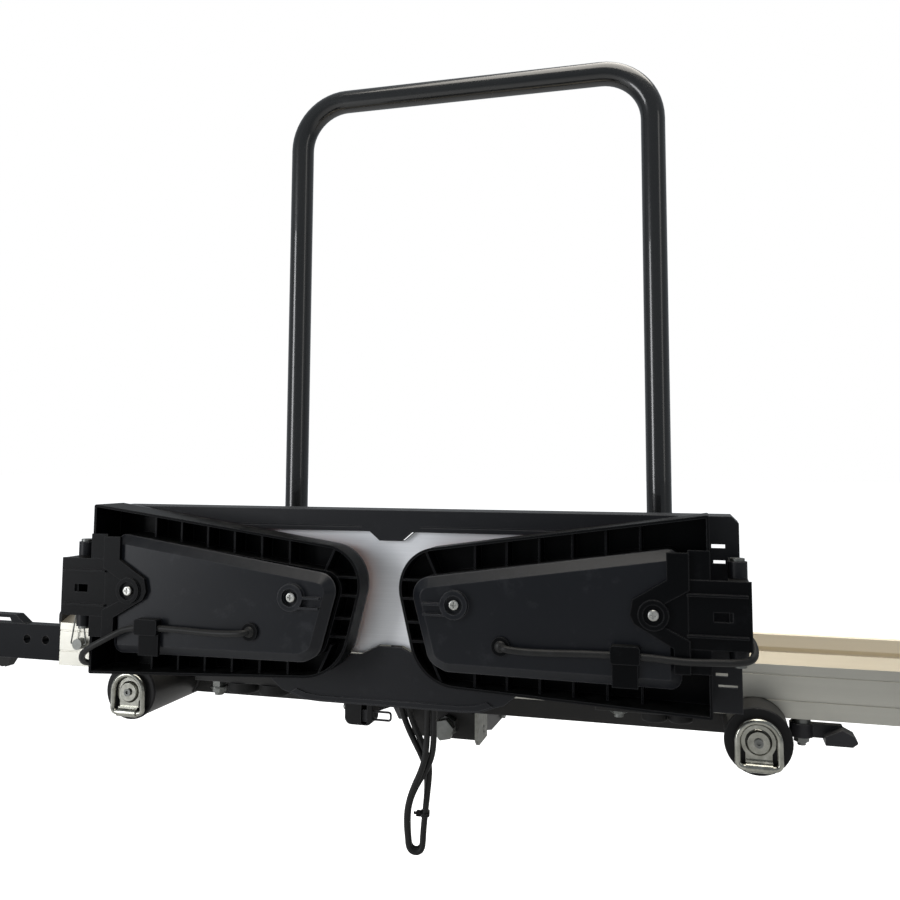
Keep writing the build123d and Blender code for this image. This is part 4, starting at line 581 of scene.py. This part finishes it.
# %% Circuit board
def circuit_board():
    circuit = Finish("circuit_board")
    diode_front, cells_per_metre, track_depth = (-0.3901, -0.38985), 220.0, 0.00004
    tracks = circuit.node("ShaderNodeTexVoronoi", {"feature": "DISTANCE_TO_EDGE"},
                          {"Vector": circuit.place(), "Scale": cells_per_metre}).between(0.02, 0.05)
    grain = circuit.noise(0.0006, 2)
    mask = circuit.mix(tracks, (0.035, 0.16, 0.05), (0.016, 0.085, 0.028))
    diode = circuit.along("Y").between(*diode_front)
    colour = circuit.mix(diode, mask, (0.72, 0.62, 0.25))
    return circuit.surface(Base_Color=colour, Roughness=0.28 + grain * 0.15,
                           Normal=circuit.bump(tracks, track_depth))


circuit_green = circuit_board()
print("circuit finish:", circuit_green.name)

# %% [markdown]
# The sheet behind the number plate is brushed silver. Brushing runs from side to side, so it is
# drawn as the rail's lines are, finer and closer. The sheet is plain: nothing is printed on it.

# %% Brushed sheet
def brushed_sheet():
    sheet = Finish("brushed_silver_sheet")
    line_depth = 0.00002
    lines = sheet.noise(0.0006, 3, stretch=(0.012, 1, 1))
    cloud = sheet.noise(0.07, 4)
    colour = sheet.mix(lines, (0.66, 0.67, 0.69), (0.80, 0.81, 0.83))
    normal = sheet.bump(lines, line_depth)
    return sheet.surface(Base_Color=colour, Metallic=0.85, Normal=normal,
                         Roughness=0.42 + lines * 0.1 + cloud * 0.08)


plate_silver = brushed_sheet()
print("sheet finish:", plate_silver.name)

# %% [markdown]
# Cable sheath is soft black plastic with a dull sheen and a very fine skin. It is rubbed grey in
# patches, a little more than the moulded parts are.

# %% Cable sheath
cable_sheath = moulded("cable_sheath", (0.011, 0.011, 0.011), 0.44, 0.0004, 0.00002, 0.0002, 0.5)
for cable in [*lamp_cables.values(), *loom_strands]:
    cable.data.materials.append(cable_sheath)
print("sheathed cables:", len(lamp_cables) + len(loom_strands))

# %% [markdown]
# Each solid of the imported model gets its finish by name. Nothing is moved: only the material in
# its first slot changes. The cables' own solids keep theirs, because the curves replace them.

# %% Put the finishes on the solids
finishes = {
    frame_coat: ("arm_left", "arm_right", "rear_beam", "front_beam", "hoop_sockets",
                 "coupling_housing", "board_bracket_left", "board_bracket_right"),
    hoop_gloss: ("hoop",),
    rail_metal: ("wheel_rail",),
    holder_coat: ("slider_bars", "chock_base", "wheel_cradle"),
    lever_coat: ("coupling_lever", "rail_clamp_lever"),
    zinc: ("cradle_pin", "lock_pin", "pin_bail", "ring_screws", "coupling_pins", "housing_bolt",
           "rail_clamp_bolt", "bracket_bolts", "board_screws", "hinge_pins", "grip_bolt"),
    screw_plate: ("lamp_left_screws", "lamp_right_screws"),
    galvanised: ("loom_bracket",),
    stainless: ("ring_plates", "d_ring_left", "d_ring_right"),
    cup_forging: ("ball_cup", "coupling_jaw"),
    board_plastic: ("light_board", "board_ends"),
    lamp_plastic: ("lamp_left_shell", "lamp_left_bracket", "lamp_left_cable_fittings",
                   "lamp_right_shell", "lamp_right_bracket", "lamp_right_cable_fittings"),
    back_plastic: ("lamp_left_back", "lamp_right_back"),
    lens_plastic: ("lamp_left_lens", "lamp_right_lens"),
    circuit_green: ("lamp_left_circuit", "lamp_right_circuit"),
    plate_silver: ("plate_sheet",),
    cap_plastic: ("arm_caps", "rail_end_caps", "hoop_knob_left", "hoop_knob_right",
                  "lever_grip", "zip_tie"),
    grip_rubber: ("chock_pads", "rubber_buffers"),
}
for finish, names in finishes.items():
    for name in names:
        slots = parts[name].data.materials
        slots.clear()
        slots.append(finish)
bare = sorted(set(parts) - {n for names in finishes.values() for n in names})
print("solids without a finish of their own:", bare)

# %% [markdown]
# Some shop details are too small for the solids. A weld bead is a thin round strip laid in the
# corner between two members, with the overlapping ripples that a welder leaves. One helper sweeps
# a small ring along a path of points and lets its radius beat once per ripple.

# %% Weld bead helper
def joined_mesh(name, vertices, faces, body, finish):
    """A smooth mesh piece that rides on a body."""
    mesh = bpy.data.meshes.new(name)
    mesh.from_pydata(vertices, [], faces)
    mesh.polygons.foreach_set("use_smooth", [True] * len(mesh.polygons))
    mesh.materials.append(finish)
    piece = add_object(name, mesh)
    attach(piece, body)
    return piece


def spaced(points, step):
    """Points at an even step along a path."""
    walked = []
    for start, end in zip(points, points[1:]):
        run = Vector(end) - Vector(start)
        count = max(1, round(run.length / step))
        walked += [Vector(start) + run * (k / count) for k in range(count)]
    return walked + [Vector(points[-1])]


def weld_bead(name, paths):
    """One bead along each path; its radius swells from 0.88 to 1.04 times within a ripple."""
    thickness, ripple, rings_per_ripple, around = 0.0022, 0.0016, 4, 8
    vertices, faces = [], []
    for path in paths:
        stations = spaced(path, ripple / rings_per_ripple)
        for k, here in enumerate(stations):
            after, before = stations[min(k + 1, len(stations) - 1)], stations[max(k - 1, 0)]
            ahead = (after - before).normalized()
            sideways = ahead.orthogonal().normalized()
            across = ahead.cross(sideways)
            beat = 0.88 + 0.16 * ((k % rings_per_ripple) / (rings_per_ripple - 1))
            first = len(vertices)
            for r in range(around):
                turn = 2 * pi * r / around
                spoke = sideways * cos(turn) + across * sin(turn)
                vertices.append(here + spoke * thickness * beat)
            if k:
                faces += [(first - around + r, first - around + (r + 1) % around,
                           first + (r + 1) % around, first + r) for r in range(around)]
    return joined_mesh(name, vertices, faces, "frame", frame_coat)


print("weld bead helper ready")

# %% [markdown]
# The beads lie where the real carrier is welded: the two cross beams to the round arms, the
# hoop's sockets and the coupling's housing to the beams, and the board's brackets.

# %% Weld beads
arm_across, arm_round = 0.3355, 0.030
beam_middle, beam_half, beam_top = 0.050, 0.020, 0.070
rear_beam_place, front_beam_place = -0.185, -0.080
socket_across, socket_round = 0.2388, 0.0195
housing_half, housing_height, housing_run = 0.038, 0.030, 0.036
bracket_half, bracket_place, bracket_height = 0.052, -0.205, 0.0575


def saddle(side, beam_place, steps=8):
    """The closed path where a square beam meets a round arm."""
    corners = [(-beam_half, t / steps * beam_half) for t in range(-steps, steps + 1)]
    corners += [(beam_half, t / steps * beam_half) for t in range(steps, -steps - 1, -1)]
    corners += [(-beam_half, -beam_half)]
    return [(side * (arm_across - sqrt(arm_round ** 2 - high ** 2)), beam_place + deep,
             beam_middle + high) for deep, high in corners]


def circle(middle, radius, count=40):
    """A closed level circle."""
    x, y, z = middle
    turns = [2 * pi * k / count for k in range(count + 1)]
    return [(x + radius * cos(turn), y + radius * sin(turn), z) for turn in turns]


beads = [
    weld_bead("arm_welds", [saddle(side, place) for side in (-1, 1)
                            for place in (rear_beam_place, front_beam_place)]),
    weld_bead("socket_welds", [circle((side * socket_across, front_beam_place, beam_top),
                                      socket_round) for side in (-1, 1)]),
    weld_bead("housing_welds", [[(side * housing_half, near, housing_height),
                                 (side * housing_half, near + housing_run, housing_height)]
                                for side in (-1, 1) for near in (-0.203, -0.098)]),
    weld_bead("bracket_welds", [[(middle - bracket_half, bracket_place, bracket_height),
                                 (middle + bracket_half, bracket_place, bracket_height)]
                                for middle in (-0.220, 0.238)]),
]
print("weld beads:", [bead.name for bead in beads])

# %% [markdown]
# Where a cable leaves a housing, a soft boot keeps it from kinking: thick at the wall, thinner
# towards the cable, with ribs across it. Each boot is a stack of round outlines that shrink.

# %% Strain relief boots
def tapered_boot(name, body, base, direction, half_sizes, length, spread=0.0, ribs=4):
    """A ribbed sleeve from a wall outwards; spread makes it wide enough for two cables."""
    around, layers_per_rib, rib_height = 24, 4, 0.00035
    at_wall, at_cable = half_sizes
    outward = Vector(direction).normalized()
    wide_axis = Vector((1, 0, 0))
    high_axis = outward.cross(wide_axis)
    vertices, faces = [], []
    layers = ribs * layers_per_rib
    for layer in range(layers + 1):
        share = layer / layers
        rib = rib_height * (1 if layer % layers_per_rib in (1, 2) else 0)
        half = at_wall + (at_cable - at_wall) * share + rib
        for k in range(around):
            turn = 2 * pi * k / around
            lean_out = spread * (1 if cos(turn) > 0 else -1)
            vertices.append(Vector(base) + outward * length * share
                            + wide_axis * (half * cos(turn) + lean_out)
                            + high_axis * half * sin(turn))
    for layer in range(layers):
        for k in range(around):
            low, following = layer * around + k, layer * around + (k + 1) % around
            faces.append((low, following, following + around, low + around))
    faces.append(tuple(range(around)))
    faces.append(tuple(layers * around + k for k in range(around)))
    return joined_mesh(name, vertices, faces, body, cable_sheath)


boots = [tapered_boot(f"lamp_{side}_boot", f"lamp_{side}", (sign * 0.1195, -0.4342, 0.1495),
                      (0, -1, 0), (0.0052, 0.0037), 0.0022, ribs=1)
         for side, sign in (("left", -1), ("right", 1))]
boots += [tapered_boot(f"gland_boot_{number}", "frame", (middle, -0.348, 0.095), (0, 1, 0),
                       (0.0052, 0.0038), 0.010, spread=0.0033)
          for number, middle in ((1, -0.008), (2, 0.024))]
print("boots:", [boot.name for boot in boots])

# %% [markdown]
# The carrier's box before and after the work is written down, so that the visual model can be
# compared with the solids. The standard view keeps white as white.

# %% Standard view
bpy.context.view_layer.update()
bpy.context.scene.view_settings.view_transform = "Standard"
